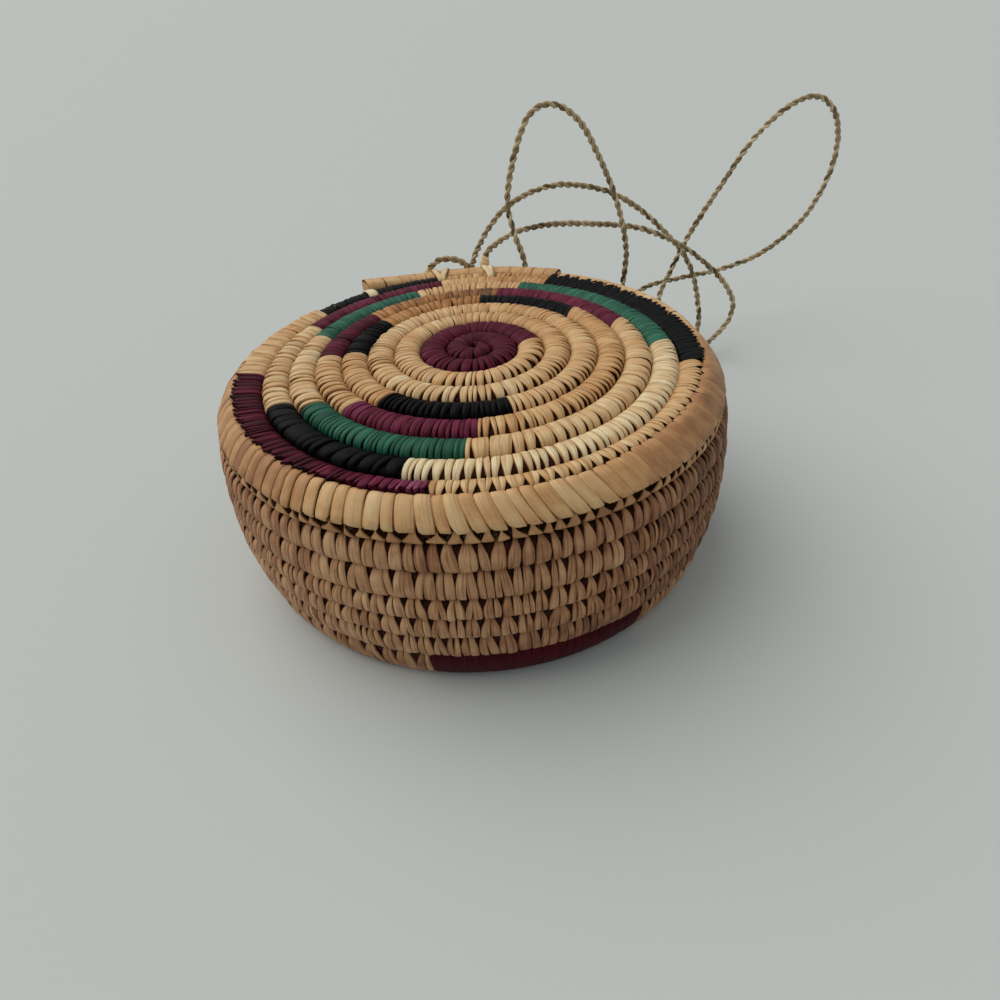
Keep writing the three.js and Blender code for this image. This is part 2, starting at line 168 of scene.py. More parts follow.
def add_node(tree, kind, settings=None, inputs=None, stops=(), output=0):
    """Output socket of a new shader node. An input is a value or another node's socket.

    Settings are the node's properties, and stops are the places and hex colours of a colour ramp.
    """
    node = tree.nodes.new("ShaderNode" + kind)
    for key, value in (settings or {}).items():
        setattr(node, key, value)
    for key, value in (inputs or {}).items():
        if isinstance(value, bpy.types.NodeSocket):
            tree.links.new(value, node.inputs[key])
        else:
            node.inputs[key].default_value = value
    if stops:
        elements = node.color_ramp.elements
        while len(elements) < len(stops):
            elements.new(0.5)
        for element, (place, colour) in zip(elements, stops):
            element.position = place
            element.color = linear(colour)
    return node.outputs[output] if node.outputs else None


def new_material(name):
    """Empty material and its node tree."""
    material = bpy.data.materials.new(name)
    material.use_nodes = True
    material.node_tree.nodes.clear()
    return material, material.node_tree


# Marks on a leaf: their width and length in millimetres, and the detail of their noise. Real ribs are finer,
# and are drawn this coarse so that they show
LEAF_MARKS = {"rib": (0.45, 14.0, 2.0), "crease": (1.0, 22.0, 1.0), "blotch": (9.0, 9.0, 2.0)}
UV_MM = 100.0
COMMON_NOISE = 0.3, 0.7
CREASE_NOISE = 0.56, 0.64
CREASE_TINT = "#8c5a30"
CREASE_DEPTH = 2.0
BLOTCH_TONE = 0.16
RIB_GLEAM = 0.4
RELIEF_MM = 0.12


def leaf_material(name, stops, streak, crease, roughness, gloss):
    """Split palm leaf, dried or dyed: silky ribbon with fine ribs, a few dark creases and its own tone.

    Its UV map holds hundreds of millimetres across and along it, and its tone, shifted by blotches, picks a
    colour from the stops.
    """
    material, tree = new_material(name)
    tone = add_node(tree, "Attribute", {"attribute_name": "tone"}, output="Fac")
    uv = add_node(tree, "UVMap", {"uv_map": "strip"})
    noise = {}
    for mark, (across, along, detail) in LEAF_MARKS.items():
        scale = add_node(tree, "Mapping", inputs={
            "Vector": uv, "Scale": (UV_MM / across, UV_MM / along, 1)})
        noise[mark] = add_node(tree, "TexNoise", {"noise_dimensions": "2D"}, {
            "Vector": scale, "Scale": 1.0, "Detail": detail})
    drawn = {}
    for use, mark, limits, results in (
            ("shift", "blotch", COMMON_NOISE, (-0.5, 0.5)),
            ("shade", "rib", COMMON_NOISE, (1 - streak, 1 + RIB_GLEAM * streak)),
            ("stain", "crease", CREASE_NOISE, (0.0, crease)),
            ("level", "crease", CREASE_NOISE, (1.0, 0.0))):
        drawn[use] = add_node(tree, "MapRange", {"interpolation_type": "SMOOTHSTEP"}, {
            "Value": noise[mark], "From Min": limits[0], "From Max": limits[1],
            "To Min": results[0], "To Max": results[1]})
    shifted = add_node(tree, "Math", {"operation": "MULTIPLY_ADD"}, {
        0: drawn["shift"], 1: BLOTCH_TONE, 2: tone})
    colour = add_node(tree, "ValToRGB", inputs={"Fac": shifted}, stops=stops)
    ribbed = add_node(tree, "Mix", {"data_type": "RGBA", "blend_type": "MULTIPLY"}, {
        "Factor": 1.0, 6: colour, 7: drawn["shade"]}, output=2)
    creased = add_node(tree, "Mix", {"data_type": "RGBA", "blend_type": "MULTIPLY"}, {
        "Factor": drawn["stain"], 6: ribbed, 7: linear(CREASE_TINT)}, output=2)
    height = add_node(tree, "Math", {"operation": "MULTIPLY_ADD"}, {
        0: drawn["level"], 1: CREASE_DEPTH, 2: noise["rib"]})
    bump = add_node(tree, "Bump", inputs={
        "Height": height, "Strength": 0.5, "Distance": RELIEF_MM * MM})
    shader = add_node(tree, "BsdfPrincipled", inputs={
        "Base Color": creased, "Roughness": roughness, "IOR": 1.45, "Specular IOR Level": gloss,
        "Normal": bump})
    add_node(tree, "OutputMaterial", inputs={"Surface": shader})
    return material


STRAW_MM = 2.5


def straw_material(name, stops):
    """Straw core in the shade between the strips: dark as painted shade, rough and dull, stained where dye
    ran into it.
    """
    material, tree = new_material(name)
    place = add_node(tree, "TexCoord", output="Object")
    noise = add_node(tree, "TexNoise", inputs={
        "Vector": place, "Scale": 1 / (STRAW_MM * MM), "Detail": 3.0})
    colour = add_node(tree, "ValToRGB", inputs={"Fac": noise}, stops=stops)
    shader = add_node(tree, "BsdfPrincipled", inputs={
        "Base Color": colour, "Roughness": 0.9, "IOR": 1.4, "Specular IOR Level": 0.2})
    add_node(tree, "OutputMaterial", inputs={"Surface": shader})
    return material


LEAF = {
    # Sun-dried leaf: straw yellow with a soft sheen, from brown, which a strip's edges take as painted shade,
    # to cream
    "natural": leaf_material("dried_palm_leaf", [
        (0.0, "#64401f"), (0.25, "#b0763e"), (0.5, "#cea06c"), (0.75, "#dcbb8b"), (1.0, "#ecdbb2")],
        streak=0.1, crease=0.3, roughness=0.55, gloss=0.35),
    # Leaf of the side: browner and duller, which paints in some of the side's shade, with more dark creases
    "browned": leaf_material("browned_palm_leaf", [
        (0.0, "#56361f"), (0.25, "#a0704e"), (0.5, "#c4986f"), (0.75, "#d6b68c"), (1.0, "#e8d3ac")],
        streak=0.12, crease=0.45, roughness=0.55, gloss=0.3),
    # Broad leaf of the rim and lips: smooth and waxy, with hardly a rib to be seen
    "smooth": leaf_material("broad_palm_leaf", [
        (0.0, "#64401f"), (0.25, "#a8784e"), (0.5, "#cb9d6a"), (0.75, "#dcbb8b"), (1.0, "#ecdbb2")],
        streak=0.05, crease=0.1, roughness=0.5, gloss=0.4),
    # Leaf boiled in purple-red dye: deep, streaky and nearly matt, pink where it is worn, and lighter where a
    # sheen is painted in
    "maroon": leaf_material("maroon_palm_leaf", [
        (0.0, "#1d060f"), (0.5, "#581128"), (0.8, "#7f3050"), (1.0, "#96526e")],
        streak=0.25, crease=0.4, roughness=0.55, gloss=0.13),
    # Leaf boiled in red dye: darker and more even
    "wine": leaf_material("wine_red_palm_leaf", [
        (0.0, "#18030a"), (0.5, "#4e0a15"), (1.0, "#7a1f2b")],
        streak=0.2, crease=0.2, roughness=0.5, gloss=0.1),
    # Leaf boiled in green dye: bluish and streaky, with some sheen
    "green": leaf_material("green_palm_leaf", [
        (0.0, "#0a2019"), (0.5, "#1e5d49"), (1.0, "#438a6e")],
        streak=0.25, crease=0.4, roughness=0.55, gloss=0.25),
    # Leaf boiled in black dye: only its edges catch a little grey light
    "black": leaf_material("black_palm_leaf", [
        (0.0, "#030304"), (0.5, "#08090b"), (1.0, "#1e1f24")],
        streak=0.25, crease=0.4, roughness=0.45, gloss=0.07),
    # Shredded leaf twisted to rope: dry and rough, grey brown with pale fibres
    "rope": leaf_material("twisted_palm_rope", [
        (0.0, "#58492f"), (0.35, "#978462"), (0.65, "#c4b08b"), (1.0, "#e2d2b0")],
        streak=0.3, crease=0.4, roughness=0.7, gloss=0.25),
}
# Straw in deep shade, coloured dark as painted shade: brown, with purple stains where dye ran into it, or
# almost black under dyed leaf
PLAIN_STRAW = straw_material("straw_core", [(0.3, "#22120a"), (0.5, "#3a2212"), (0.66, "#43202c")])
DYED_STRAW = straw_material("dyed_straw_core", [(0.3, "#070507"), (0.7, "#1b0f12")])
SLOTS = {"maroon": "maroon_leaf", "wine": "maroon_leaf", "green": "green_leaf", "black": "black_leaf",
         "rope": "palm_rope"}


# Meshes

def summed(steps):
    """Running total of steps, from 0."""
    return np.concatenate([[0], np.cumsum(steps)])


def length_along(line):
    """Length from a line's start to each of its points."""
    return summed(np.linalg.norm(np.diff(line, axis=0), axis=1))


def unit(vectors):
    """Vectors of length 1."""
    return vectors / np.linalg.norm(vectors, axis=-1, keepdims=True)


class Shell:
    """Closed surfaces gathered for one mesh, with a tone a point, a UV a corner and a material a face."""

    def __init__(self):
        self.points, self.tones, self.faces = [], [], []
        self.count = 0

    def add(self, points, faces, uvs, tones, slot, caps=None, soft=True, cap_slot=None):
        """Adds quads and caps, turned to face out: by the divergence theorem their volume is positive.

        Soft faces share their shading with their neighbours. No point stays below what the bag lies on.
        """
        centred = points - points.mean(0)
        a, b, c, d = (centred[faces[:, i]] for i in range(4))
        if np.einsum("ij,ij->", a, np.cross(b, c) + np.cross(c, d)) < 0:
            faces, uvs = faces[:, ::-1], uvs[:, ::-1]
            caps = None if caps is None else caps[:, ::-1]
        self.points.append(np.column_stack([points[:, :2], np.maximum(points[:, 2], 0)]))
        self.tones.append(np.broadcast_to(tones, len(points)))
        groups = [(faces, uvs, slot, soft)]
        if caps is not None:
            groups.append((caps, np.zeros((*caps.shape, 2)), slot if cap_slot is None else cap_slot, False))
        for corners, uv, material, smooth in groups:
            count, size = corners.shape
            self.faces.append(((corners + self.count).ravel(), np.full(count, size), uv.reshape(-1, 2),
                               np.full(count, material), np.broadcast_to(smooth, count)))
        self.count += len(points)

    def make(self, name, materials):
        """Mesh object of all that was added, in metres."""
        corners, sizes, uvs, slots, softs = (np.concatenate(part) for part in zip(*self.faces))
        mesh = bpy.data.meshes.new(name)
        mesh.vertices.add(self.count)
        mesh.vertices.foreach_set("co", (np.concatenate(self.points) * MM).ravel())
        mesh.loops.add(len(corners))
        mesh.loops.foreach_set("vertex_index", corners)
        mesh.polygons.add(len(sizes))
        mesh.polygons.foreach_set("loop_start", summed(sizes)[:-1])
        mesh.polygons.foreach_set("material_index", slots)
        mesh.polygons.foreach_set("use_smooth", softs)
        layer = mesh.uv_layers.new(name="strip")
        layer.data.foreach_set("uv", (uvs / UV_MM).ravel())
        tone = mesh.attributes.new("tone", "FLOAT", "POINT")
        tone.data.foreach_set("value", np.concatenate(self.tones))
        mesh.update()
        mesh.validate()
        for material in materials:
            mesh.materials.append(material)
        piece = bpy.data.objects.new(name, mesh)
        bpy.context.scene.collection.objects.link(piece)
        return piece


def quads(rows, cols):
    """Row and column of each corner of rows by cols quads."""
    row, col = np.meshgrid(np.arange(rows), np.arange(cols), indexing="ij")
    down = np.stack([row, row, row + 1, row + 1], -1).reshape(-1, 4)
    over = np.stack([col, col + 1, col + 1, col], -1).reshape(-1, 4)
    return down, over


def ring_faces(count, rows, cols):
    """Quads of count rings of rows by cols points, closed both ways, and each corner's row and column."""
    down, over = quads(rows, cols)
    faces = (down % rows) * cols + over % cols
    faces = (np.arange(count)[:, None, None] * rows * cols + faces).reshape(-1, 4)
    return faces, down, over


def tube_faces(rows, cols):
    """Quads of a tube of rows by cols points, closed round its columns, its caps, and each corner's place."""
    down, over = quads(rows - 1, cols)
    caps = np.stack([np.arange(cols)[::-1], (rows - 1) * cols + np.arange(cols)])
    return down * cols + over % cols, caps, down, over


# Coils

FINE_PLACES = 600


class Coil(NamedTuple):
    """A coil's line. Places along it are turns, angles or heights.

    halves(place) gives its section's half sizes out and up, and point(place, out, up) where a point lies.
    """
    halves: object
    point: object
    start: float
    end: float

    def lengths(self):
        """Fine places along the coil and the length from its start to each of them."""
        places = np.linspace(self.start, self.end, FINE_PLACES)
        return places, length_along(self.point(places, 0.0, 0.0))


def spiral(eye, radius, turn):
    """Direction from a panel's eye at a turn, the coil's middle and half width, and the panel's edge."""
    angle = -2 * np.pi * turn
    direction = np.stack([np.cos(angle), np.sin(angle)], -1)
    along = direction @ eye
    edge = np.sqrt(along ** 2 - eye @ eye + radius ** 2) - along
    inner = np.maximum(COIL_PITCH * (turn - 1 + FIRST_EDGE_TURNS) + TURN_GAP / 2, EYE_HOLE)
    outer = np.minimum(COIL_PITCH * (turn + FIRST_EDGE_TURNS) - TURN_GAP / 2, edge)
    return direction, (inner + outer) / 2, (outer - inner) / 2, edge


def panel_coil(eye, radius, top, start, end):
    """Spiral about its eye: its edges move out by a pitch a turn, and the panel's edge trims its end."""
    def halves(turn):
        return spiral(eye, radius, turn)[2], COIL_THICKNESS / 2 + 0 * turn

    def point(turn, out, up):
        direction, middle, _, _ = spiral(eye, radius, turn)
        centre = eye + direction * middle[..., None]
        height = top(np.hypot(centre[..., 0], centre[..., 1])) - COIL_THICKNESS / 2
        flat = centre + direction * (out + 0 * turn)[..., None]
        return np.concatenate([flat, (height + up)[..., None]], -1)

    return Coil(halves, point, start, end)


def ring_coil(centre, out_axis, half_out, half_up, start, end, rise=None):
    """Coil on a circle about the bag's axis, raised by rise(angle).

    Its section leans: out_axis is its outward side as (radius, height).
    """
    up_axis = (-out_axis[1], out_axis[0])

    def halves(angle):
        return half_out + 0 * angle, half_up + 0 * angle

    def point(angle, out, up):
        radius = centre[0] + out_axis[0] * out + up_axis[0] * up
        height = centre[1] + out_axis[1] * out + up_axis[1] * up + 0 * angle
        if rise:
            height = height + rise(angle)
        return np.stack([radius * np.cos(angle), radius * np.sin(angle), height], -1)

    return Coil(halves, point, start, end)


def course_coil(low, high, crown, start, end):
    """Course of the side between two points (radius, height) of the bag's outer line."""
    low, high = np.array(low), np.array(high)
    run = high - low
    length = np.hypot(*run)
    out_axis = np.array([run[1], -run[0]]) / length
    centre = (low + high) / 2 + out_axis * (crown - WALL_THICKNESS / 2)
    return ring_coil(centre, out_axis, WALL_THICKNESS / 2, length / 2, start, end)


def post_coil(angle, half_out, half_along, middle_radius, low, high):
    """Upright coil at one angle of the side: out is away from the bag's axis and up is along the side."""
    away = np.array([np.cos(angle), np.sin(angle), 0.0])
    beside = np.array([-np.sin(angle), np.cos(angle), 0.0])
    upright = np.array([0.0, 0.0, 1.0])

    def halves(height):
        return half_out + 0 * height, half_along + 0 * height

    def point(height, out, up):
        return ((middle_radius(height) + out)[..., None] * away + (up + 0 * height)[..., None] * beside
                + np.asarray(height)[..., None] * upright)

    return Coil(halves, point, low, high)


KNOT_END_SHARE = 0.62


def spindle_coil(foot, head, radius):
    """Straight coil that swells by a half sine from a share of its radius at both ends, as a knot does."""
    foot, head = np.array(foot, float), np.array(head, float)
    axis = unit(head - foot)
    side = unit(np.cross(axis, (1.0, 0.0, 0.0)))
    other = np.cross(axis, side)

    def halves(share):
        swell = np.sin(np.pi * np.clip(share, 0, 1))
        half = radius * (KNOT_END_SHARE + (1 - KNOT_END_SHARE) * swell)
        return half, half

    def point(share, out, up):
        return (foot + np.asarray(share)[..., None] * (head - foot) + (out + 0 * share)[..., None] * side
                + (up + 0 * share)[..., None] * other)

    return Coil(halves, point, 0.0, 1.0)


# Strips of leaf. Outlines go once round a coil: out and up, in half sizes, and their share of full width

PANEL_OUTLINE = np.array([
    (1, 0.05, 0.44), (0.97, 0.42, 0.46), (0.84, 0.72, 0.54), (0.58, 0.93, 0.72), (0.22, 1.03, 0.92),
    (-0.18, 1.04, 1), (-0.55, 0.97, 1), (-0.85, 0.8, 1), (-1.06, 0.5, 1), (-1.04, 0.05, 1),
    (-0.95, -0.45, 0.95), (-0.6, -0.9, 1), (0, -1.02, 1), (0.6, -0.9, 0.85), (0.95, -0.45, 0.6),
])
# The last turn's strips reach further in, over the turn before
FORKED_OUTLINE = PANEL_OUTLINE.copy()
FORKED_OUTLINE[6:11, 0] = (-0.65, -1.05, -1.36, -1.3, -1)
# Strips that reach out over a neighbour have long pointed tips, folded back close under themselves
LONG_OUTLINE = PANEL_OUTLINE.copy()
LONG_OUTLINE[:5] = [
    (1, 1.12, 0.16), (0.88, 1.16, 0.45), (0.66, 1.16, 0.78), (0.4, 1.12, 0.95), (0.12, 1.07, 1)]
LONG_OUTLINE[13:] = (0.9, 0.2, 0.85), (0.6, 0.98, 0.8)
# Strips that lie over the rim have broad drooping tips
DRAPED_OUTLINE = PANEL_OUTLINE.copy()
DRAPED_OUTLINE[:5] = [
    (1, 0.72, 0.95), (0.94, 0.94, 1), (0.75, 1.06, 1), (0.45, 1.09, 1), (0.15, 1.06, 1)]
DRAPED_OUTLINE[13:] = (0.9, 0.1, 0.9), (0.8, 0.5, 0.95)
WALL_OUTLINE = np.array([
    (0.2, 1, 0.42), (0.6, 0.9, 0.5), (0.86, 0.68, 0.7), (1, 0.36, 0.92), (1.05, -0.02, 1),
    (1.03, -0.4, 1), (0.92, -0.74, 0.97), (0.66, -1, 0.85), (0.25, -1.1, 0.75), (-0.4, -1, 0.85),
    (-0.9, -0.55, 1), (-1.02, 0, 1), (-0.92, 0.5, 0.9), (-0.55, 0.88, 0.6), (-0.15, 1, 0.42),
])
LIP_OUTLINE = np.array([
    (1, 0, 1), (0.93, 0.5, 1), (0.72, 0.83, 1), (0.4, 0.98, 1), (0, 1.02, 1),
    (-0.4, 0.98, 1), (-0.72, 0.83, 1), (-0.93, 0.5, 1), (-1, 0, 1), (-0.93, -0.5, 1),
    (-0.6, -0.92, 1), (0, -1.02, 1), (0.6, -0.92, 1), (0.93, -0.5, 1),
])
# The legs below the rim are narrow at their tops
LEG_OUTLINE = WALL_OUTLINE.copy()
LEG_OUTLINE[:6, 2] = (0.12, 0.14, 0.2, 0.32, 0.58, 0.85)
# The rim's outlines are millimetres from the bag's axis and up from its base, less the rim's middle. Their
# tips lie on the panel's last turn
RIM_MIDDLE = np.array([117, 95])
RIM_SQUARE = np.array([
    (112.9, 99.5, 0.6), (113.8, 100.4, 0.95), (115.2, 100.9, 1.08), (117, 100.5, 1.1), (119, 99.1, 1.1),
    (121.4, 96.5, 1.1), (123.5, 93.6, 1.08), (124.6, 91.8, 1), (124.5, 90.2, 0.85), (121.5, 89.2, 0.85),
    (117.5, 90.2, 1), (114.4, 93.4, 1), (113, 96.4, 0.95), (112.2, 98.6, 0.7),
]) - (*RIM_MIDDLE, 0)
RIM_POINTED = RIM_SQUARE.copy()
RIM_POINTED[:5] = np.array([
    (111, 100, 0.4), (112.4, 100.8, 0.8), (113.8, 101.3, 1.05), (116, 101.2, 1.1), (118.6, 99.7, 1.1),
]) - (*RIM_MIDDLE, 0)
# For each row: where a strip is loose, how far it sinks at the rim's low end, and how far it goes, and which
# way, where the rim is drawn in
RIM_ENDS = np.array([1, 0.5, 0, 0, 0, 0, 0, -0.5, -1, -0.5, 0, 0, 0, 0.5])
RIM_SINK = np.array([3.4, 4, 4.4, 4, 2.6, 1, 0, 0, 0, 0, 0, 0, 1.4, 2.6])
RIM_DRAW_SHARE = np.array([0, 0.25, 0.5, 0.75, 1, 1, 1, 1, 1, 0.6, 0, 0, 0, 0])
RIM_DRAW_WAY = np.array([0.9, 0.43])
# The rim's core, and the lower one on its left
RIM_CORE = np.array([
    (113.4, 98.6), (116.4, 97.6), (118.6, 95), (120.2, 91.8), (120.8, 89.9), (119.8, 89.4), (117.4, 90.8),
    (114.8, 94), (113.6, 97),
]) - RIM_MIDDLE
LOW_RIM_CORE = np.array([
    (113.4, 94.4), (115, 93.8), (117, 92.6), (118.8, 91), (119.4, 89.6), (118.6, 89.2), (117, 90.4),
    (115, 92.4), (113.8, 93.6),
]) - RIM_MIDDLE
# Where a panel is smooth its strips run together on the coil's inner side and stand apart on its outer side
PANEL_MERGE = np.array([0, 0.05, 0.15, 0.45, 0.85, 1, 1, 1, 1, 1, 1, 1, 1, 0.5, 0.2])
# Points across a strip, in half widths, and those of them that are its edges
ACROSS = np.array([-1, -0.83, 0, 0.83, 1])
EDGE = np.array([1, 0, 0, 0, 1])


class Stitch(NamedTuple):
    """How strips lie on a coil.

    They are spacing millimetres wide, unevenly, and run along the outline's out (0) or up (1). They lean by
    half widths, are drawn together in pairs, taper as their outline says, and swell by a bulge and sink at
    their edges by a groove, in millimetres. Ragged moves the rows that ends marks. Fused is the least that
    strips stand apart, flush how far they do on the whole coil, and merge a row's share in running together.
    """
    outline: np.ndarray
    spacing: float
    along: int
    lean: float = 0.0
    lean_spread: float = 0.15
    pairs: float = 0.0
    taper: float = 1.0
    groove: float = 0.5
    bulge: float = 0.12
    uneven: float = 0.34
    ragged: float = 0.0
    ends: object = 0.0
    tone_spread: float = 0.06
    fused: float = 0.3
    flush: float = 1.0
    merge: object = 1.0


PANEL = Stitch(PANEL_OUTLINE, 3.4, 0, lean=0.2, taper=0.75, groove=0.75, bulge=0.2, merge=PANEL_MERGE)
LEFT_PANEL = PANEL._replace(spacing=4.8, taper=0.6, uneven=0.22, fused=0.85)
DYED_PANEL = PANEL._replace(spacing=3.0, taper=0.5, groove=0.45, tone_spread=0.07)
FINE_DYED_PANEL = DYED_PANEL._replace(spacing=2.3, groove=0.5)
FORKED_PANEL = Stitch(FORKED_OUTLINE, 2.9, 0, pairs=1.0, taper=1.15, uneven=0.15, fused=0.7)
LONG_DYED_PANEL = Stitch(LONG_OUTLINE, 3.8, 0, lean=0.2, groove=0.4, fused=0.8, tone_spread=0.08)
CENTRE = PANEL._replace(spacing=3.0, taper=0.4, groove=0.35, bulge=0.05)
COURSE = Stitch(WALL_OUTLINE, 3.8, 1, pairs=1.0, taper=0.72, groove=0.7, bulge=0.18, lean_spread=0.22,
                fused=0.6, uneven=0.22)
TOP_COURSE = Stitch(WALL_OUTLINE, 5.5, 1, groove=0.7, bulge=0.2, taper=0.85, fused=0.8, uneven=0.15)
RIM = Stitch(RIM_SQUARE, 6.4, 1, lean_spread=0.06, groove=0.75, bulge=0.1, ragged=0.7, ends=RIM_ENDS,
             uneven=0.15, fused=0.7)
RIM_LEGS = Stitch(LEG_OUTLINE, 5.9, 1, groove=0.5, bulge=0.15, fused=0.8, uneven=0.2)
LIP = Stitch(LIP_OUTLINE, 9.0, 0, lean_spread=0.05, groove=0.4, bulge=0.04, uneven=0.4, flush=0.45)
BINDING = LIP._replace(spacing=4.5, lean_spread=0.15, groove=0.6, uneven=0.15, flush=1.0)
DYED_BASE = COURSE._replace(pairs=0.0, taper=0.1, groove=0.3, bulge=0.03, tone_spread=0.03, lean_spread=0.05,
                            flush=0.2)
KNOT = Stitch(LIP_OUTLINE, 2.2, 1, lean=0.9, groove=0.3, bulge=0.15, flush=0.45)


def outline_normals(out, up):
    """Outward unit normals of a closed outline, from the chord between each point's neighbours."""
    d_out = np.roll(out, -1, -1) - np.roll(out, 1, -1)
    d_up = np.roll(up, -1, -1) - np.roll(up, 1, -1)
    size = np.hypot(d_out, d_up)
    turn = np.sign((out * np.roll(up, -1, -1) - np.roll(out, -1, -1) * up).sum(-1, keepdims=True))
    return turn * d_up / size, -turn * d_out / size


def drift(length, period):
    """Slow change along a coil, about -1 to 1: random values a period apart, joined by straight lines."""
    knots = np.arange(0, length[-1] + 2 * period, period)
    return np.interp(length, knots, chance.standard_normal(len(knots)))


WIDTH_LIMITS = 0.45, 1.9
DRIFT_MM = 42.0
TIGHT_MEAN, TIGHT_DRIFT, TIGHT_SPREAD, TIGHT_MOST = 0.8, 0.4, 0.25, 1.4
NARROWEST = 0.12
COMB = 0.8
SIDE_SPREAD = 0.4
LOOSEST = 1.3
BULGE_SPREAD = 0.3
LEVEL_SPREAD = 0.12
TILT_SPREAD = 0.2
UNDERSIDE = 0.4
UV_SCATTER_MM = 900
TONE_DRIFT = 0.05
CALM = 0.35
# Tone taken off at a strip's edges: painted shade in the seams between strips
EDGE_SHADE = 0.62


def wrap(shell, coil, stitch, tone, lean=None, smooth=None, shape=None, fine=None):
    """Strips of leaf round a coil, side by side.

    Strip i has its own width, lean, taper, groove and tone. At share e across it and row r of its outline, a
    point lies half a width times (w e + (1 - w) side), plus half an even width times lean r, along the coil,
    where w is the row's width share, and bulge (1 - e squared) less the groove at its edges off the outline.
    Where the coil is smooth, strips run together. shape(places) gives each strip its own outline, and
    fine(places) the share of the spacing that strips are wide there.
    """
    places, lengths = coil.lengths()
    steps = np.diff(lengths) / (fine(places[1:]) if fine else 1.0)
    measure = summed(steps)
    count = max(int(round(measure[-1] / stitch.spacing)), 1)
    widths = np.exp(stitch.uneven * chance.standard_normal(count)).clip(*WIDTH_LIMITS)
    edges = np.interp(summed(widths) * measure[-1] / widths.sum(), measure, lengths)
    ends = np.interp(edges, lengths, places)
    centre, half = (ends[:-1] + ends[1:]) / 2, np.diff(ends) / 2
    middle_mm = (edges[:-1] + edges[1:]) / 2
    tight = TIGHT_MEAN + TIGHT_DRIFT * drift(middle_mm, DRIFT_MM)
    tight = np.clip(tight + TIGHT_SPREAD * chance.standard_normal(count), stitch.fused, TIGHT_MOST)
    flush = smooth(centre) if smooth else np.full(count, stitch.flush)
    apart = 1 - (1 - flush)[:, None] * stitch.merge
    crisp = tight[:, None] * apart
    outline = shape(centre) if shape else stitch.outline
    rows = len(stitch.outline)

    # Where each point lies along the coil
    open_share = stitch.taper * tight[:, None] * (1 + COMB * (1 - flush)[:, None] * (1 - stitch.merge))
    share = np.maximum(1 - (1 - outline[..., 2]) * open_share, NARROWEST)
    partner = np.where(np.arange(count) % 2, -1.0, 1.0)
    side = stitch.pairs * partner + (1 - stitch.pairs) * chance.uniform(-SIDE_SPREAD, SIDE_SPREAD, count)
    row = stitch.outline[:, stitch.along]
    row = (2 * row - row.max() - row.min()) / (row.max() - row.min())
    slant = stitch.lean if lean is None else lean(centre)
    slant = slant + stitch.lean_spread * chance.standard_normal(count)
    nearby = middle_mm + np.array([[-0.5], [0.5]]) * stitch.spacing
    even = np.diff(np.interp(nearby, lengths, places), axis=0)[0]
    offset = centre[:, None] + half[:, None] * (1 - share) * side[:, None] + (even / 2 * slant)[:, None] * row
    along = offset[..., None] + (half[:, None] * share)[..., None] * ACROSS

    # How far it lies off the coil's outline
    half_out, half_up = coil.halves(along)
    nominal_out, nominal_up = coil.halves(centre)
    out_line, up_line = outline[..., 0] * nominal_out[:, None], outline[..., 1] * nominal_up[:, None]
    normal_out, normal_up = outline_normals(out_line, up_line)
    loose = stitch.ragged * np.clip(chance.standard_normal((count, 2)), -LOOSEST, LOOSEST)
    pull = loose[:, :1] * np.maximum(stitch.ends, 0) + loose[:, 1:] * np.minimum(stitch.ends, 0)
    bulge = stitch.bulge * chance.normal(1.0, BULGE_SPREAD, (count, 1)) * apart
    level = LEVEL_SPREAD * crisp * chance.standard_normal((count, 1))
    tilt = TILT_SPREAD * crisp * chance.standard_normal((count, 1))
    lift = (bulge[..., None] * (1 - ACROSS ** 2) - stitch.groove * crisp[..., None] * EDGE + level[..., None]
            + tilt[..., None] * ACROSS)
    out = outline[..., 0, None] * half_out + lift * normal_out[:, :, None] - (pull * normal_up)[:, :, None]
    up = outline[..., 1, None] * half_up + lift * normal_up[:, :, None] + (pull * normal_out)[:, :, None]
    points = coil.point(along, out, up)

    # Faces, their places on the strip in millimetres, and tones that darken at the strip's edges as painted
    # shade in the seams between strips
    faces, down, over = ring_faces(count, rows, len(ACROSS))
    out_step, up_step = (np.diff(part, append=part[:, :1]) for part in (out_line, up_line))
    mm_along = summed(np.hypot(out_step, up_step).mean(0))
    mm_across = np.append(ACROSS, ACROSS[-1] + UNDERSIDE) * stitch.spacing / 2
    uv = np.stack([mm_across[over], mm_along[down]], -1)
    uvs = (uv[None] + chance.uniform(0, UV_SCATTER_MM, (count, 1, 1, 2))).reshape(-1, 4, 2)
    base = tone(centre) if callable(tone) else tone
    spread = stitch.tone_spread * (CALM + (1 - CALM) * flush)
    strip_tone = base + spread * chance.standard_normal(count) + TONE_DRIFT * drift(middle_mm, DRIFT_MM)
    tones = strip_tone[:, None, None] - EDGE_SHADE * np.minimum(crisp, 1)[..., None] * EDGE
    tones = np.broadcast_to(np.clip(tones, 0, 1), (count, rows, len(ACROSS)))
    soft = np.tile(np.append(EDGE[:-1] + EDGE[1:] < 0.5, False), count * rows)
    shell.add(points.reshape(-1, 3), faces, uvs, tones.ravel(), 0, soft=soft)


CORE_DEPTH = 1.4
CORE_STEP = 4.0
CORE_TONE = 0.5


def fill(shell, coil, outline, depth, cap_slot=1):
    """Straw core under the strips: the outline drawn in by a depth, carried along the coil and capped."""
    _, lengths = coil.lengths()
    rows = max(int(lengths[-1] / CORE_STEP), 2)
    along = np.linspace(coil.start, coil.end, rows)[:, None] + 0 * outline[:, 0]
    half_out, half_up = coil.halves(along)
    out, up = outline[:, 0] * half_out, outline[:, 1] * half_up
    normal_out, normal_up = outline_normals(out, up)
    points = coil.point(along, out - depth * normal_out, up - depth * normal_up).reshape(-1, 3)
    faces, caps, _, _ = tube_faces(rows, len(outline))
    shell.add(points, faces, np.zeros((len(faces), 4, 2)), CORE_TONE, 1, caps, cap_slot=cap_slot)


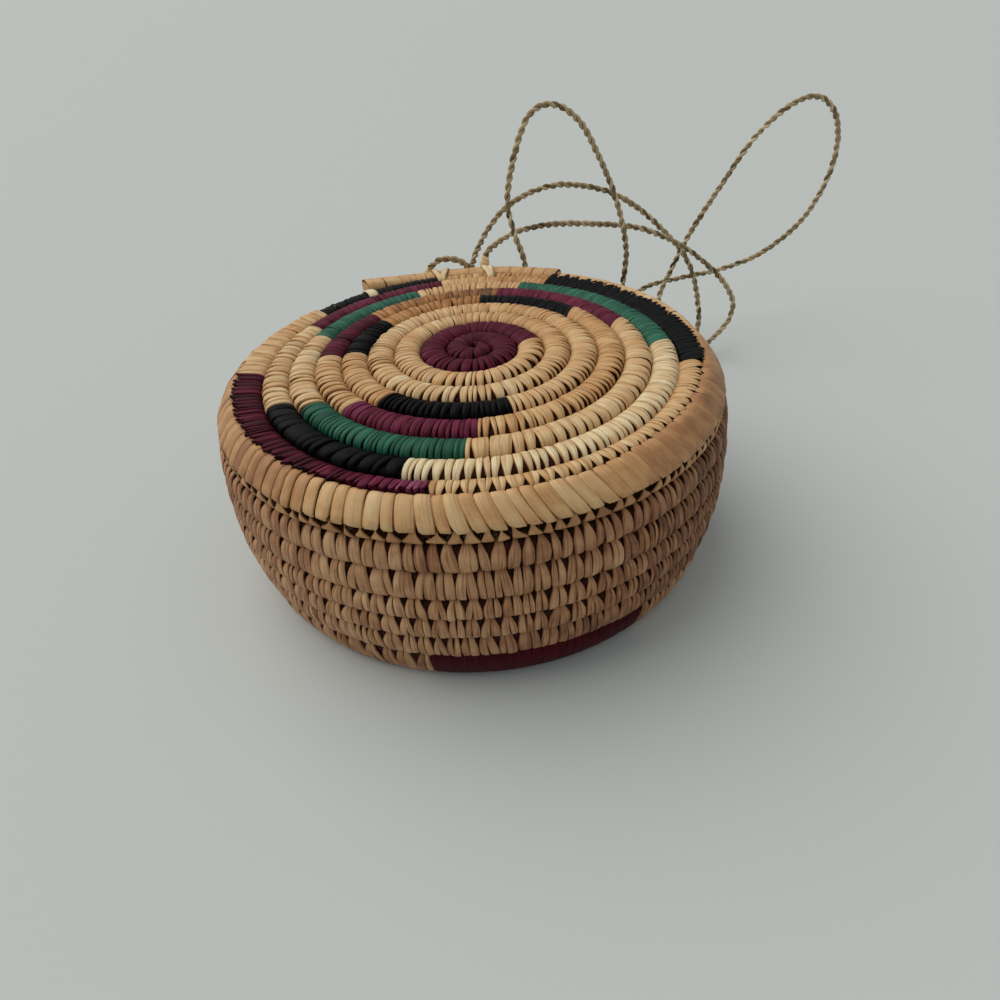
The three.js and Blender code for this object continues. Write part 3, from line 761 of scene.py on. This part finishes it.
def finish_piece(shell, node, dye, body="bag", change=None):
    """Mesh that stands for its node. It rides on a body, or rides on none when given a change."""
    straw = DYED_STRAW if dye in SLOTS else PLAIN_STRAW
    piece = shell.make(node + "_leaf", [LEAF[dye], straw])
    if change:
        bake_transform(piece)
    else:
        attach(piece, body)
    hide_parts(node)


def wrapped(node, coil, dye, stitch, tone=0.5, core=None, cap_slot=1, **habits):
    """One piece of the bag: its strips of leaf and the straw under them."""
    shell = Shell()
    wrap(shell, coil, stitch, tone, **habits)
    fill(shell, coil, stitch.outline if core is None else core, CORE_DEPTH, cap_slot)
    finish_piece(shell, node, dye)


# Ropes

FINE_STEPS = 40


def smooth_line(route, step):
    """Centripetal Catmull-Rom curve through the route's points, sampled evenly at about the given step."""
    points = np.array(route, float)
    points = np.concatenate([[2 * points[0] - points[1]], points, [2 * points[-1] - points[-2]]])
    times = summed(np.linalg.norm(np.diff(points, axis=0), axis=1) ** 0.5)
    a, b, c, d = (points[i:len(points) - 3 + i, None] for i in range(4))
    ta, tb, tc, td = (times[i:len(points) - 3 + i, None, None] for i in range(4))
    t = tb + (tc - tb) * np.arange(FINE_STEPS)[:, None] / FINE_STEPS

    def mixed(start, end, t_start, t_end):
        return ((t_end - t) * start + (t - t_start) * end) / (t_end - t_start)

    ab, bc, cd = mixed(a, b, ta, tb), mixed(b, c, tb, tc), mixed(c, d, tc, td)
    fine = mixed(mixed(ab, bc, ta, tc), mixed(bc, cd, tb, td), tb, tc).reshape(-1, 3)
    fine = np.concatenate([fine, points[-2:-1]])
    length = length_along(fine)
    even = np.linspace(0, length[-1], int(length[-1] / step) + 1)
    return np.stack([np.interp(even, length, fine[:, i]) for i in range(3)], -1), even


def frames_along(line):
    """Two side directions at each point of a line, turned as little as possible between points."""
    tangent = unit(np.gradient(line, axis=0))
    side = np.cross(tangent[0], (0.0, 0.0, 1.0))
    sides = []
    for direction in tangent:
        side = unit(side - direction * (side @ direction))
        sides.append(side)
    sides = np.array(sides)
    return sides, np.cross(tangent, sides)


ROPE_STEP = 1.1
STRAND_SIDES = 8
STRAND_SHARE = 0.43
STRAND_OFFSET = 0.21
STRAND_TWIST = 0.8
RIDGES, RIDGE_HEIGHT = 2.5, 0.08
SWELL, SWELL_MM = 0.09, 9.0
ROPE_TONE, STRAND_CONTRAST, ROPE_TONE_DRIFT, ROPE_TONE_MM = 0.55, 0.12, 0.2, 12.0
STRAND_UV_MM = 200


def rope(node, route, change_start, change_end):
    """Two strands of leaf, each on a helix about the rope's line and turning about itself as it goes."""
    line, length = smooth_line(route, ROPE_STEP)
    side, other = frames_along(line)
    shell = Shell()
    turn = 2 * np.pi * length / ROPE_LAY
    around = np.arange(STRAND_SIDES) * 2 * np.pi / STRAND_SIDES
    ridge = 1 + RIDGE_HEIGHT * np.sign(np.sin(RIDGES * around))
    for strand in range(2):
        angle = turn + np.pi * strand
        swell = 1 + SWELL * drift(length, SWELL_MM)
        centre = line + ROPE_DIAMETER * STRAND_OFFSET * (
            np.cos(angle)[:, None] * side + np.sin(angle)[:, None] * other)
        u, w = frames_along(centre)
        radius = (ROPE_DIAMETER * STRAND_SHARE / 2 * swell)[:, None] * ridge
        ring_angle = around + STRAND_TWIST * turn[:, None]
        points = centre[:, None] + radius[..., None] * (
            np.cos(ring_angle)[..., None] * u[:, None] + np.sin(ring_angle)[..., None] * w[:, None])
        tones = ROPE_TONE + STRAND_CONTRAST * (2 * strand - 1) + ROPE_TONE_DRIFT * drift(length, ROPE_TONE_MM)
        faces, caps, down, over = tube_faces(len(line), STRAND_SIDES)
        mm_around = np.arange(STRAND_SIDES + 1) * ROPE_DIAMETER * STRAND_SHARE * np.pi / STRAND_SIDES
        uvs = np.stack([mm_around[over], length[down]], -1) + STRAND_UV_MM * strand
        shell.add(points.reshape(-1, 3), faces, uvs, np.repeat(np.clip(tones, 0, 1), STRAND_SIDES), 0, caps)
    piece = shell.make(node + "_rope", [LEAF["rope"]])
    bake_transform(piece)
    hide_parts(node)


add_camera()
rope("left_strap", LEFT_ROUTE, *LEFT_CHANGE)
rope("right_strap", RIGHT_ROUTE, *RIGHT_CHANGE)


# Front and back panels

STEPS_A_TURN = 24
FEWEST_TURNS, MOST_TURNS = 6, 10
SMOOTHEST_TURN = 0.93
FLUSH_MEAN, FLUSH_SWING = 0.58, 0.42
# Plain stretches are this much darker at the right of each turn: painted shade on the side away from the
# light
RIGHT_SHADE = 0.14
PANEL_TONE = 0.5
NATURAL_TONES = [0.66, 0.54, 0.3, 0.6, 0.54, 0.22, 0.74, 0.68, 0.7, 0.95, 0.7, 0.6, 0.68, 0.6, 0.55]
# Own tones of some dyed stretches; maroon_3 is lighter as a painted sheen where the light grazes the right
# back
DYED_TONES_AND_SHEEN = {"maroon_1": 0.64, "maroon_3": 0.62, "green_3": 0.6, "black_1": 0.35}
# One maroon stretch is faded at its start
FADED_STRETCH = "maroon_5"
FADE_TURNS, FADE_TONES = (8.3, 8.36), (0.86, 0.36)
OWN_STITCHES = {
    "natural_5": LEFT_PANEL._replace(spacing=4.0),
    "natural_7": PANEL._replace(spacing=5.4, taper=0.45),
    "natural_8": LEFT_PANEL,
    "natural_10": PANEL._replace(spacing=3.8, uneven=0.25, taper=0.6),
    "natural_11": LEFT_PANEL,
    "natural_13": FORKED_PANEL,
    "natural_14": LEFT_PANEL._replace(outline=DRAPED_OUTLINE, spacing=4.2),
    "maroon_1": DYED_PANEL._replace(spacing=2.6, tone_spread=0.05),
    "maroon_5": LONG_DYED_PANEL._replace(spacing=3.0, groove=0.9, tone_spread=0.13),
    "black_1": FINE_DYED_PANEL._replace(spacing=2.8),
    "black_2": FINE_DYED_PANEL,
    "black_4": DYED_PANEL._replace(spacing=6.2, lean=0.6),
    "black_5": LONG_DYED_PANEL,
}
# How far strips reach beyond the panel's edge at the start and the end of a stretch, and how unevenly
LONG_REACH = {"black_5": (-4.4, 0.4, 1.0), "maroon_5": (1.0, 1.0, 0.9), "natural_14": (1.2, 0.0, 0.2)}
TEETH_A_TURN = 95
TOOTH_SPREAD = 0.6
# At the right of each turn a plain stretch starts askew, as a rounded nose over the end of the dyed one
JOINT_LEAN = -2.2
JOINT_MM = 16.0
JOINT_RISE = 0.12
JOINT_WIDENING = 0.35


def dome_top(radius):
    """Height of the front panel: it falls from its middle to its edge by a power of the radius."""
    return TOP_Z - DOME_HEIGHT * (radius / FRONT_PANEL_RADIUS) ** DOME_POWER


def flat_top(radius):
    """Height of the back panel, the same everywhere."""
    return COIL_THICKNESS + 0 * radius


def last_turn(eye, radius):
    """Last turn at which the coil is still as wide as its tapered end, to a 24th of a turn."""
    turn = np.arange(STEPS_A_TURN * FEWEST_TURNS, STEPS_A_TURN * MOST_TURNS) / STEPS_A_TURN
    _, _, half, _ = spiral(eye, radius, turn)
    return turn[np.argmax(2 * half < TAPERED_END) - 1]


def rightness(turn):
    """1 at the right of each turn and -1 at its left, as a cosine round it."""
    return np.cos(2 * np.pi * (turn - SMOOTHEST_TURN))


def panel_smoothness(turn):
    """Strips lie flush at the right of each turn and stand apart at its left."""
    return FLUSH_MEAN - FLUSH_SWING * rightness(turn)


def joint_share(turn, joint):
    """1 at a joint at the right of a turn, falling to 0 a joint's length away, and 0 for other joints."""
    _, middle, _, _ = spiral(FRONT_EYE, FRONT_PANEL_RADIUS, np.array(joint))
    at_right = np.clip(2 * rightness(joint) - 1, 0, 1)
    return at_right * np.clip(1 - np.abs(turn - joint) * 2 * np.pi * middle / JOINT_MM, 0, 1)


def nose_shape(turn, outline, joint, rise):
    """Outlines that stand higher and wider towards a joint."""
    share = joint_share(turn, joint)[:, None]
    outlines = np.tile(outline, (len(turn), 1, 1))
    outlines[..., 1] *= np.where(outline[:, 1] > 0, 1 + rise * share, 1.0)
    outlines[..., 2] *= 1 + JOINT_WIDENING * share
    return outlines


def reaching_edge(turn, outline, first, last, spread):
    """Outlines whose outer side is drawn out beyond the panel's edge, over the rim, in uneven teeth."""
    _, middle, half, edge = spiral(FRONT_EYE, FRONT_PANEL_RADIUS, turn)
    uneven = np.sin(2 * np.pi * TEETH_A_TURN * turn) + TOOTH_SPREAD * np.clip(
        chance.standard_normal(len(turn)), -LOOSEST, LOOSEST)
    beyond = np.interp(turn, turn[[0, -1]], (first, last)) + spread * uneven
    reach = ((edge + beyond - middle) / half)[:, None] * np.maximum(outline[:, 0], 0)
    outlines = np.tile(outline, (len(turn), 1, 1))
    outlines[..., 0] = np.where(outline[:, 0] > 0, reach, outline[:, 0])
    outlines[:, -2, 0] = outline[-2, 0]
    return outlines


def front_stretch(name, start, end, dye, stitch, level=PANEL_TONE):
    """One stretch of the front coil in one colour."""
    plain = dye == "natural"
    stitch = OWN_STITCHES.get(name, stitch)
    joint = start if plain else end

    def tone(turn):
        if name == FADED_STRETCH:
            return np.interp(turn, FADE_TURNS, FADE_TONES)
        # Plain stretches get painted shade towards the right of each turn
        return DYED_TONES_AND_SHEEN.get(name, level) - plain * RIGHT_SHADE * np.clip(rightness(turn), 0, 1)

    def lean(turn):
        return stitch.lean + JOINT_LEAN * joint_share(turn, joint)

    def shape(turn):
        if name in LONG_REACH:
            return reaching_edge(turn, stitch.outline, *LONG_REACH[name])
        return nose_shape(turn, stitch.outline, joint, plain * JOINT_RISE)

    coil = panel_coil(FRONT_EYE, FRONT_PANEL_RADIUS, dome_top, start, end)
    node = "front_centre_coil" if name == "centre" else f"front_coil_{name}"
    wrapped(node, coil, dye, stitch, tone, PANEL_OUTLINE, lean=lean, smooth=panel_smoothness, shape=shape)


def front_panel():
    """The spiral from its maroon centre outwards. Each change of colour starts a new piece."""
    front_stretch("centre", FIRST_TURN, CENTRE_END_TURN, "maroon", CENTRE)
    counts = {"maroon": 0, "green": 0, "black": 0}
    reached = CENTRE_END_TURN
    for number, (start, end, dye) in enumerate(DYED_STRETCHES):
        front_stretch(f"natural_{number + 1}", reached, start, "natural", PANEL, NATURAL_TONES[number])
        counts[dye] += 1
        front_stretch(f"{dye}_{counts[dye]}", start, end, dye, DYED_PANEL)
        reached = end
    end = last_turn(FRONT_EYE, FRONT_PANEL_RADIUS)
    front_stretch(f"natural_{len(NATURAL_TONES)}", reached, end, "natural", PANEL, NATURAL_TONES[-1])


def back_panel():
    """A flat spiral with a maroon centre."""
    centre = panel_coil(BACK_EYE, BACK_PANEL_RADIUS, flat_top, FIRST_TURN, CENTRE_END_TURN)
    wrapped("back_centre_coil", centre, "maroon", CENTRE)
    end = last_turn(BACK_EYE, BACK_PANEL_RADIUS)
    rest = panel_coil(BACK_EYE, BACK_PANEL_RADIUS, flat_top, CENTRE_END_TURN, end)
    wrapped("back_panel_coil", rest, "natural", PANEL)


# Side, rim and base

def by_angle(degrees, values):
    """Function of the angle round the bag: values at some degrees, joined by straight lines."""
    angles = np.radians(degrees)

    def value(angle):
        return np.interp(angle, angles, values)

    return value


LEGS_BOTTOM = 83.4
LEGS_TOP = 91.2
LEG_TONE = 0.36
LEG_FACE_ROWS = 7
LEG_DRAW_SHARE = 0.5
LEG_CORE_DEPTH = 3.4
LOW_CORE_END = np.radians(228)
BASE_TONE = 0.4
# Tones of the side and the rim, lowered as painted shade where they turn from the light, most at the right,
# and how narrow the side's strips are
course_tone_and_shade = by_angle([215, 250, 320], [0.36, 0.47, 0.17])
course_fineness = by_angle([282, 312], [1.0, 0.62])
rim_tone_and_shade = by_angle([180, 215, 245, 285, 320, 350, 372], [0.52, 0.3, 0.56, 0.56, 0.25, 0.26, 0.64])
# The rim's strips run together on a patch at the right front. Right of the front they lean and lap, and left
# of it they stand upright and a little apart
rim_smoothness = by_angle([286, 297, 317, 325], [1.0, 0.12, 0.05, 0.2])
rim_lean = by_angle([250, 272], [0, -1.15])
rim_width = by_angle([250, 272], [0.92, 1])
# Where their tips are pointed, where the rim sinks, and how many millimetres it is drawn in
rim_points = by_angle([200, 210, 222, 245, 290, 305, 340, 355], [0.25, 1, 1, 0, 0, 1, 1, 0])
rim_sunk = by_angle([132, 140], [1, 0])
rim_drawn = by_angle([150, 160, 175, 200, 228, 310, 325, 345, 368, 388],
                     [3.8, 2.8, 1.9, 1.8, 0, 0, 0.8, 1.8, 1.8, 0.2])


def wall_radius(height):
    """Radius of the bag's outer line: it draws in a little to the shoulder and more to the base."""
    above = np.clip((height - WIDEST_HEIGHT) / (SHOULDER_Z - WIDEST_HEIGHT), 0, None)
    below = np.clip((WIDEST_HEIGHT - height) / WIDEST_HEIGHT, 0, None)
    return (BODY_RADIUS - (BODY_RADIUS - SHOULDER_RADIUS) * above ** 2
            - (BODY_RADIUS - BASE_RADIUS) * below ** BASE_DRAW_POWER)


def side_courses():
    """The five courses. The legs of the rim's strips cover the top of the fifth."""
    bottom = BASE_COIL_HEIGHT
    stitches = [COURSE] * (len(COURSE_HEIGHTS) - 1) + [TOP_COURSE]
    for i, (height, stitch) in enumerate(zip(COURSE_HEIGHTS, stitches)):
        top = bottom + height
        seen = min(top, LEGS_BOTTOM)
        coil = course_coil((wall_radius(bottom), bottom), (wall_radius(seen), seen), COURSE_CROWN,
                           MOUTH_LEFT + COURSE_END_ANGLE, MOUTH_RIGHT - COURSE_END_ANGLE)
        wrapped(f"side_course_{i + 1}", coil, "browned", stitch, course_tone_and_shade, fine=course_fineness)
        bottom = top


def rim_shape(angle):
    """Outlines between square and pointed, sunk and drawn in by angle. Upright strips are narrower."""
    outline = RIM_SQUARE + rim_points(angle)[:, None, None] * (RIM_POINTED - RIM_SQUARE)
    outline[..., 1] -= rim_sunk(angle)[:, None] * RIM_SINK
    drawn = rim_drawn(angle)[:, None] * RIM_DRAW_SHARE
    outline[..., :2] -= drawn[..., None] * RIM_DRAW_WAY
    outline[..., 2] *= rim_width(angle)[:, None]
    return outline


def leg_shape(angle):
    """The legs' outlines, whose outer faces are drawn in with the rim."""
    outline = np.tile(LEG_OUTLINE, (len(angle), 1, 1))
    drawn = LEG_DRAW_SHARE * rim_drawn(angle) / (WALL_THICKNESS / 2)
    outline[:, :LEG_FACE_ROWS, 0] -= drawn[:, None]
    return outline


def rim():
    """Broad strips over the thick coil, and below them the legs that they are sewn to the side with."""
    shell = Shell()
    coil = ring_coil(RIM_MIDDLE, (1, 0), 1.0, 1.0, MOUTH_LEFT, MOUTH_RIGHT)
    wrap(shell, coil, RIM, rim_tone_and_shade, rim_lean, rim_smoothness, rim_shape)
    fill(shell, coil._replace(start=LOW_CORE_END), RIM_CORE, 0.0)
    fill(shell, coil._replace(end=LOW_CORE_END), LOW_RIM_CORE, 0.0)
    middle = SHOULDER_RADIUS + COURSE_CROWN - WALL_THICKNESS / 2, (LEGS_BOTTOM + LEGS_TOP) / 2
    half_height = (LEGS_TOP - LEGS_BOTTOM) / 2
    legs = ring_coil(middle, (1, 0), WALL_THICKNESS / 2, half_height, MOUTH_LEFT, MOUTH_RIGHT)
    wrap(shell, legs, RIM_LEGS, LEG_TONE, shape=leg_shape)
    fill(shell, legs, LEG_OUTLINE, LEG_CORE_DEPTH)
    finish_piece(shell, "front_rim_coil", "smooth")


def base():
    """The coil that the side stands on. Its dyed stretch is worn smooth."""
    stretches = [("base_coil_left", MOUTH_LEFT, BASE_DYE_START, "browned", COURSE),
                 ("base_coil_maroon", BASE_DYE_START, BASE_DYE_END, "wine", DYED_BASE),
                 ("base_coil_right", BASE_DYE_END, MOUTH_RIGHT, "browned", COURSE)]
    top = wall_radius(BASE_COIL_HEIGHT), BASE_COIL_HEIGHT
    for node, start, end, dye, stitch in stretches:
        coil = course_coil((BASE_RADIUS, 0), top, BASE_COIL_CROWN, start, end)
        wrapped(node, coil, dye, stitch, BASE_TONE, cap_slot=0)


# Mouth

LIP_RIGHT = np.pi / 2 - MOUTH_HALF_ANGLE + LIP_END_ANGLE
FRONT_LIP_LEFT = np.radians(117.2)
FRONT_LIP_TONE = 0.5
BACK_LIP_TONE = 0.55
LIP_RISE_START = np.radians(99)
LIP_RISE = 4.0
LIP_RISE_POWER = 1.5
# The pale stitch at the lip's left end, as radius and height: from the panel over the last turn to the lip
LIP_STITCH = np.array([
    (101.8, 99.8), (103.4, 101.6), (106.5, 102.2), (109.5, 101.9), (112.2, 100.8), (113.6, 98.6),
])
LIP_STITCH_ANGLE = np.radians(118.6)
LIP_STITCH_WIDTH = 6.0
LIP_STITCH_TONE = 0.97
BINDING_TONE = 0.45
BINDING_SIDE_GAP = 0.2
BINDING_END_GAP = 0.4
BAND_THICKNESS = 0.7
BAND_STEP = 1.5
# Section of a band of leaf, in half widths and half thicknesses
LENS = np.array([(-1.0, 0.0), (-0.5, 1.0), (0.5, 1.0), (1.0, 0.0), (0.5, -1.0), (-0.5, -1.0)])


def leaf_band(shell, line, beside, width, tone):
    """Strip of leaf along a line: a lens-shaped section, wide beside the line."""
    tangent = unit(np.gradient(line, axis=0))
    across = unit(beside - tangent * (tangent @ beside)[:, None])
    face = np.cross(tangent, across)
    wide, thick = LENS[:, 0] * width / 2, LENS[:, 1] * BAND_THICKNESS / 2
    points = line[:, None] + wide[:, None] * across[:, None] + thick[:, None] * face[:, None]
    faces, caps, down, over = tube_faces(len(line), len(wide))
    uvs = np.stack([np.append(wide, wide[0])[over], length_along(line)[down]], -1)
    uvs = uvs + chance.uniform(0, UV_SCATTER_MM, 2)
    shell.add(points.reshape(-1, 3), faces, uvs, tone, 0, caps)


def front_lip_rise(angle):
    """The front lip springs up towards its left end."""
    share = np.clip((angle - LIP_RISE_START) / (FRONT_LIP_LEFT - LIP_RISE_START), 0, 1)
    return LIP_RISE * share ** LIP_RISE_POWER


def lips():
    """The free front lip with the pale stitch at its left end, and the back lip."""
    half_sizes = LIP_WIDTH / 2, LIP_THICKNESS / 2
    front = ring_coil(FRONT_LIP, (1, 0), *half_sizes, LIP_RIGHT, FRONT_LIP_LEFT, front_lip_rise)
    shell = Shell()
    wrap(shell, front, LIP, FRONT_LIP_TONE)
    fill(shell, front, LIP_OUTLINE, CORE_DEPTH, cap_slot=0)
    away = np.array([np.cos(LIP_STITCH_ANGLE), np.sin(LIP_STITCH_ANGLE)])
    line, _ = smooth_line(np.column_stack([LIP_STITCH[:, :1] * away, LIP_STITCH[:, 1]]), BAND_STEP)
    leaf_band(shell, line, np.array([-away[1], away[0], 0.0]), LIP_STITCH_WIDTH, LIP_STITCH_TONE)
    finish_piece(shell, "front_lip_coil", "smooth", "front_lip")
    back = ring_coil(BACK_LIP, (1, 0), *half_sizes, LIP_RIGHT, MOUTH_LEFT - LIP_END_ANGLE)
    wrapped("back_lip_coil", back, "smooth", LIP, BACK_LIP_TONE, cap_slot=0)


def mouth_bindings():
    """The bound ends of the courses beside the mouth."""
    def middle(height):
        return wall_radius(height) + COURSE_CROWN - WALL_THICKNESS / 2

    for node, angle in (("mouth_binding_left", MOUTH_LEFT + COURSE_END_ANGLE / 2),
                        ("mouth_binding_right", MOUTH_RIGHT - COURSE_END_ANGLE / 2)):
        coil = post_coil(angle, WALL_THICKNESS / 2, BINDING_WIDTH / 2 - BINDING_SIDE_GAP, middle,
                         BASE_COIL_HEIGHT + BINDING_END_GAP, SHOULDER_Z - BINDING_END_GAP)
        wrapped(node, coil, "browned", BINDING, BINDING_TONE)


# Ties. Their strips run from a hole in the panel over the lip, and rows give radius and height on the way

OVER_FRONT_LIP = np.array([
    (103.2, 100.6), (105.0, 102.2), (109.0, 102.6), (113.5, 102.0), (118.0, 101.4), (122.5, 101.0),
    (126.0, 99.3), (128.2, 96.5), (128.6, 93.5), (126.8, 90.4), (122.0, 89.2), (117.0, 89.6),
])
OVER_BACK_LIP = np.array([
    (105.6, 10.0), (107.2, 12.2), (110.0, 13.0), (114.0, 13.3), (118.0, 12.6), (120.8, 10.4), (121.6, 7.2),
    (120.6, 3.6), (117.5, 1.6), (112.0, 1.2),
])
TIE_WIDTH = 3.6
SPREAD_ROWS = 6
KNOT_CORE_DEPTH = 0.8
# Two points for the front ties, in metres
TIE_CHANGE = (0, 0.1045, 0.1), (0, 0.113, 0.1)


def tie(node, rows, hole_x, far_xs, foot, head, radius, tone, change=None):
    """Strips over a lip, spread from a hole's x to a far x each, and the knot round the end of the rope."""
    shell = Shell()
    share = np.clip(np.arange(len(rows)) / SPREAD_ROWS, 0, 1)
    for far_x in far_xs:
        x = hole_x + (far_x - hole_x) * share
        line, _ = smooth_line(np.stack([x, np.sqrt(rows[:, 0] ** 2 - x ** 2), rows[:, 1]], -1), BAND_STEP)
        leaf_band(shell, line, np.array([1.0, 0.0, 0.0]), TIE_WIDTH, tone)
    coil = spindle_coil(foot, head, radius)
    wrap(shell, coil, KNOT, tone)
    fill(shell, coil, KNOT.outline, KNOT_CORE_DEPTH)
    finish_piece(shell, node, "smooth", change=change)


def ties():
    """The front ties ride on no body, and the back ties stay with the bag."""
    tie("front_tie_left", OVER_FRONT_LIP, hole_x=-8.9, far_xs=(-13.6, -5.0), foot=(-17.0, 131.4, 92.6),
        head=(-15.4, 130.0, 100.2), radius=2.6, tone=0.8, change=TIE_CHANGE)
    tie("front_tie_right", OVER_FRONT_LIP, hole_x=20.7, far_xs=(17.6, 22.0), foot=(18.8, 129.8, 96.0),
        head=(19.9, 130.8, 103.8), radius=2.9, tone=0.9, change=TIE_CHANGE)
    tie("back_tie_left", OVER_BACK_LIP, hole_x=-10, far_xs=(-14.5, -8), foot=(-15.4, 121.0, 11.2),
        head=(-11.0, 124.2, 14.9), radius=2.8, tone=0.6)
    tie("back_tie_right", OVER_BACK_LIP, hole_x=19, far_xs=(17, 22), foot=(19.4, 120.6, 10.6),
        head=(20.2, 121.8, 19.2), radius=2.8, tone=0.6)


# Floor and light

FLOOR_SIZE = 40.0
SUN_FROM = Vector((-0.6, 0.4, 1.0))
SUN_ANGLE = np.radians(70)
SUN_ENERGY = 1.75


def floor_and_light():
    """Plain pale floor under a soft even sky and one broad soft light from the back left."""
    scene = bpy.context.scene
    scene.view_settings.view_transform = "Standard"
    mesh = bpy.data.meshes.new("floor")
    corners = FLOOR_SIZE * np.array([(-1, -1, 0), (1, -1, 0), (1, 1, 0), (-1, 1, 0)])
    mesh.from_pydata(corners.tolist(), [], [(0, 1, 2, 3)])
    floor = bpy.data.objects.new("floor", mesh)
    scene.collection.objects.link(floor)
    # Painted board: matt, so that shadows on it are soft and nothing mirrors in it
    material, tree = new_material("pale_floor")
    shader = add_node(tree, "BsdfPrincipled", inputs={
        "Base Color": linear("#c5cac9"), "Roughness": 0.8, "Specular IOR Level": 0.2})
    add_node(tree, "OutputMaterial", inputs={"Surface": shader})
    mesh.materials.append(material)
    world = bpy.data.worlds.new("studio")
    world.use_nodes = True
    tree = world.node_tree
    tree.nodes.clear()
    back = add_node(tree, "Background", inputs={"Color": linear("#e4e7e6"), "Strength": 0.52})
    add_node(tree, "OutputWorld", inputs={"Surface": back})
    scene.world = world
    lamp = bpy.data.lights.new("window", "SUN")
    lamp.energy = SUN_ENERGY
    lamp.angle = SUN_ANGLE
    lamp.color = linear("#fffbf4")[:3]
    sun = bpy.data.objects.new("window", lamp)
    scene.collection.objects.link(sun)
    sun.rotation_euler = SUN_FROM.to_track_quat("Z", "Y").to_euler()


front_panel()
back_panel()
side_courses()
rim()
base()
lips()
mouth_bindings()
ties()
floor_and_light()
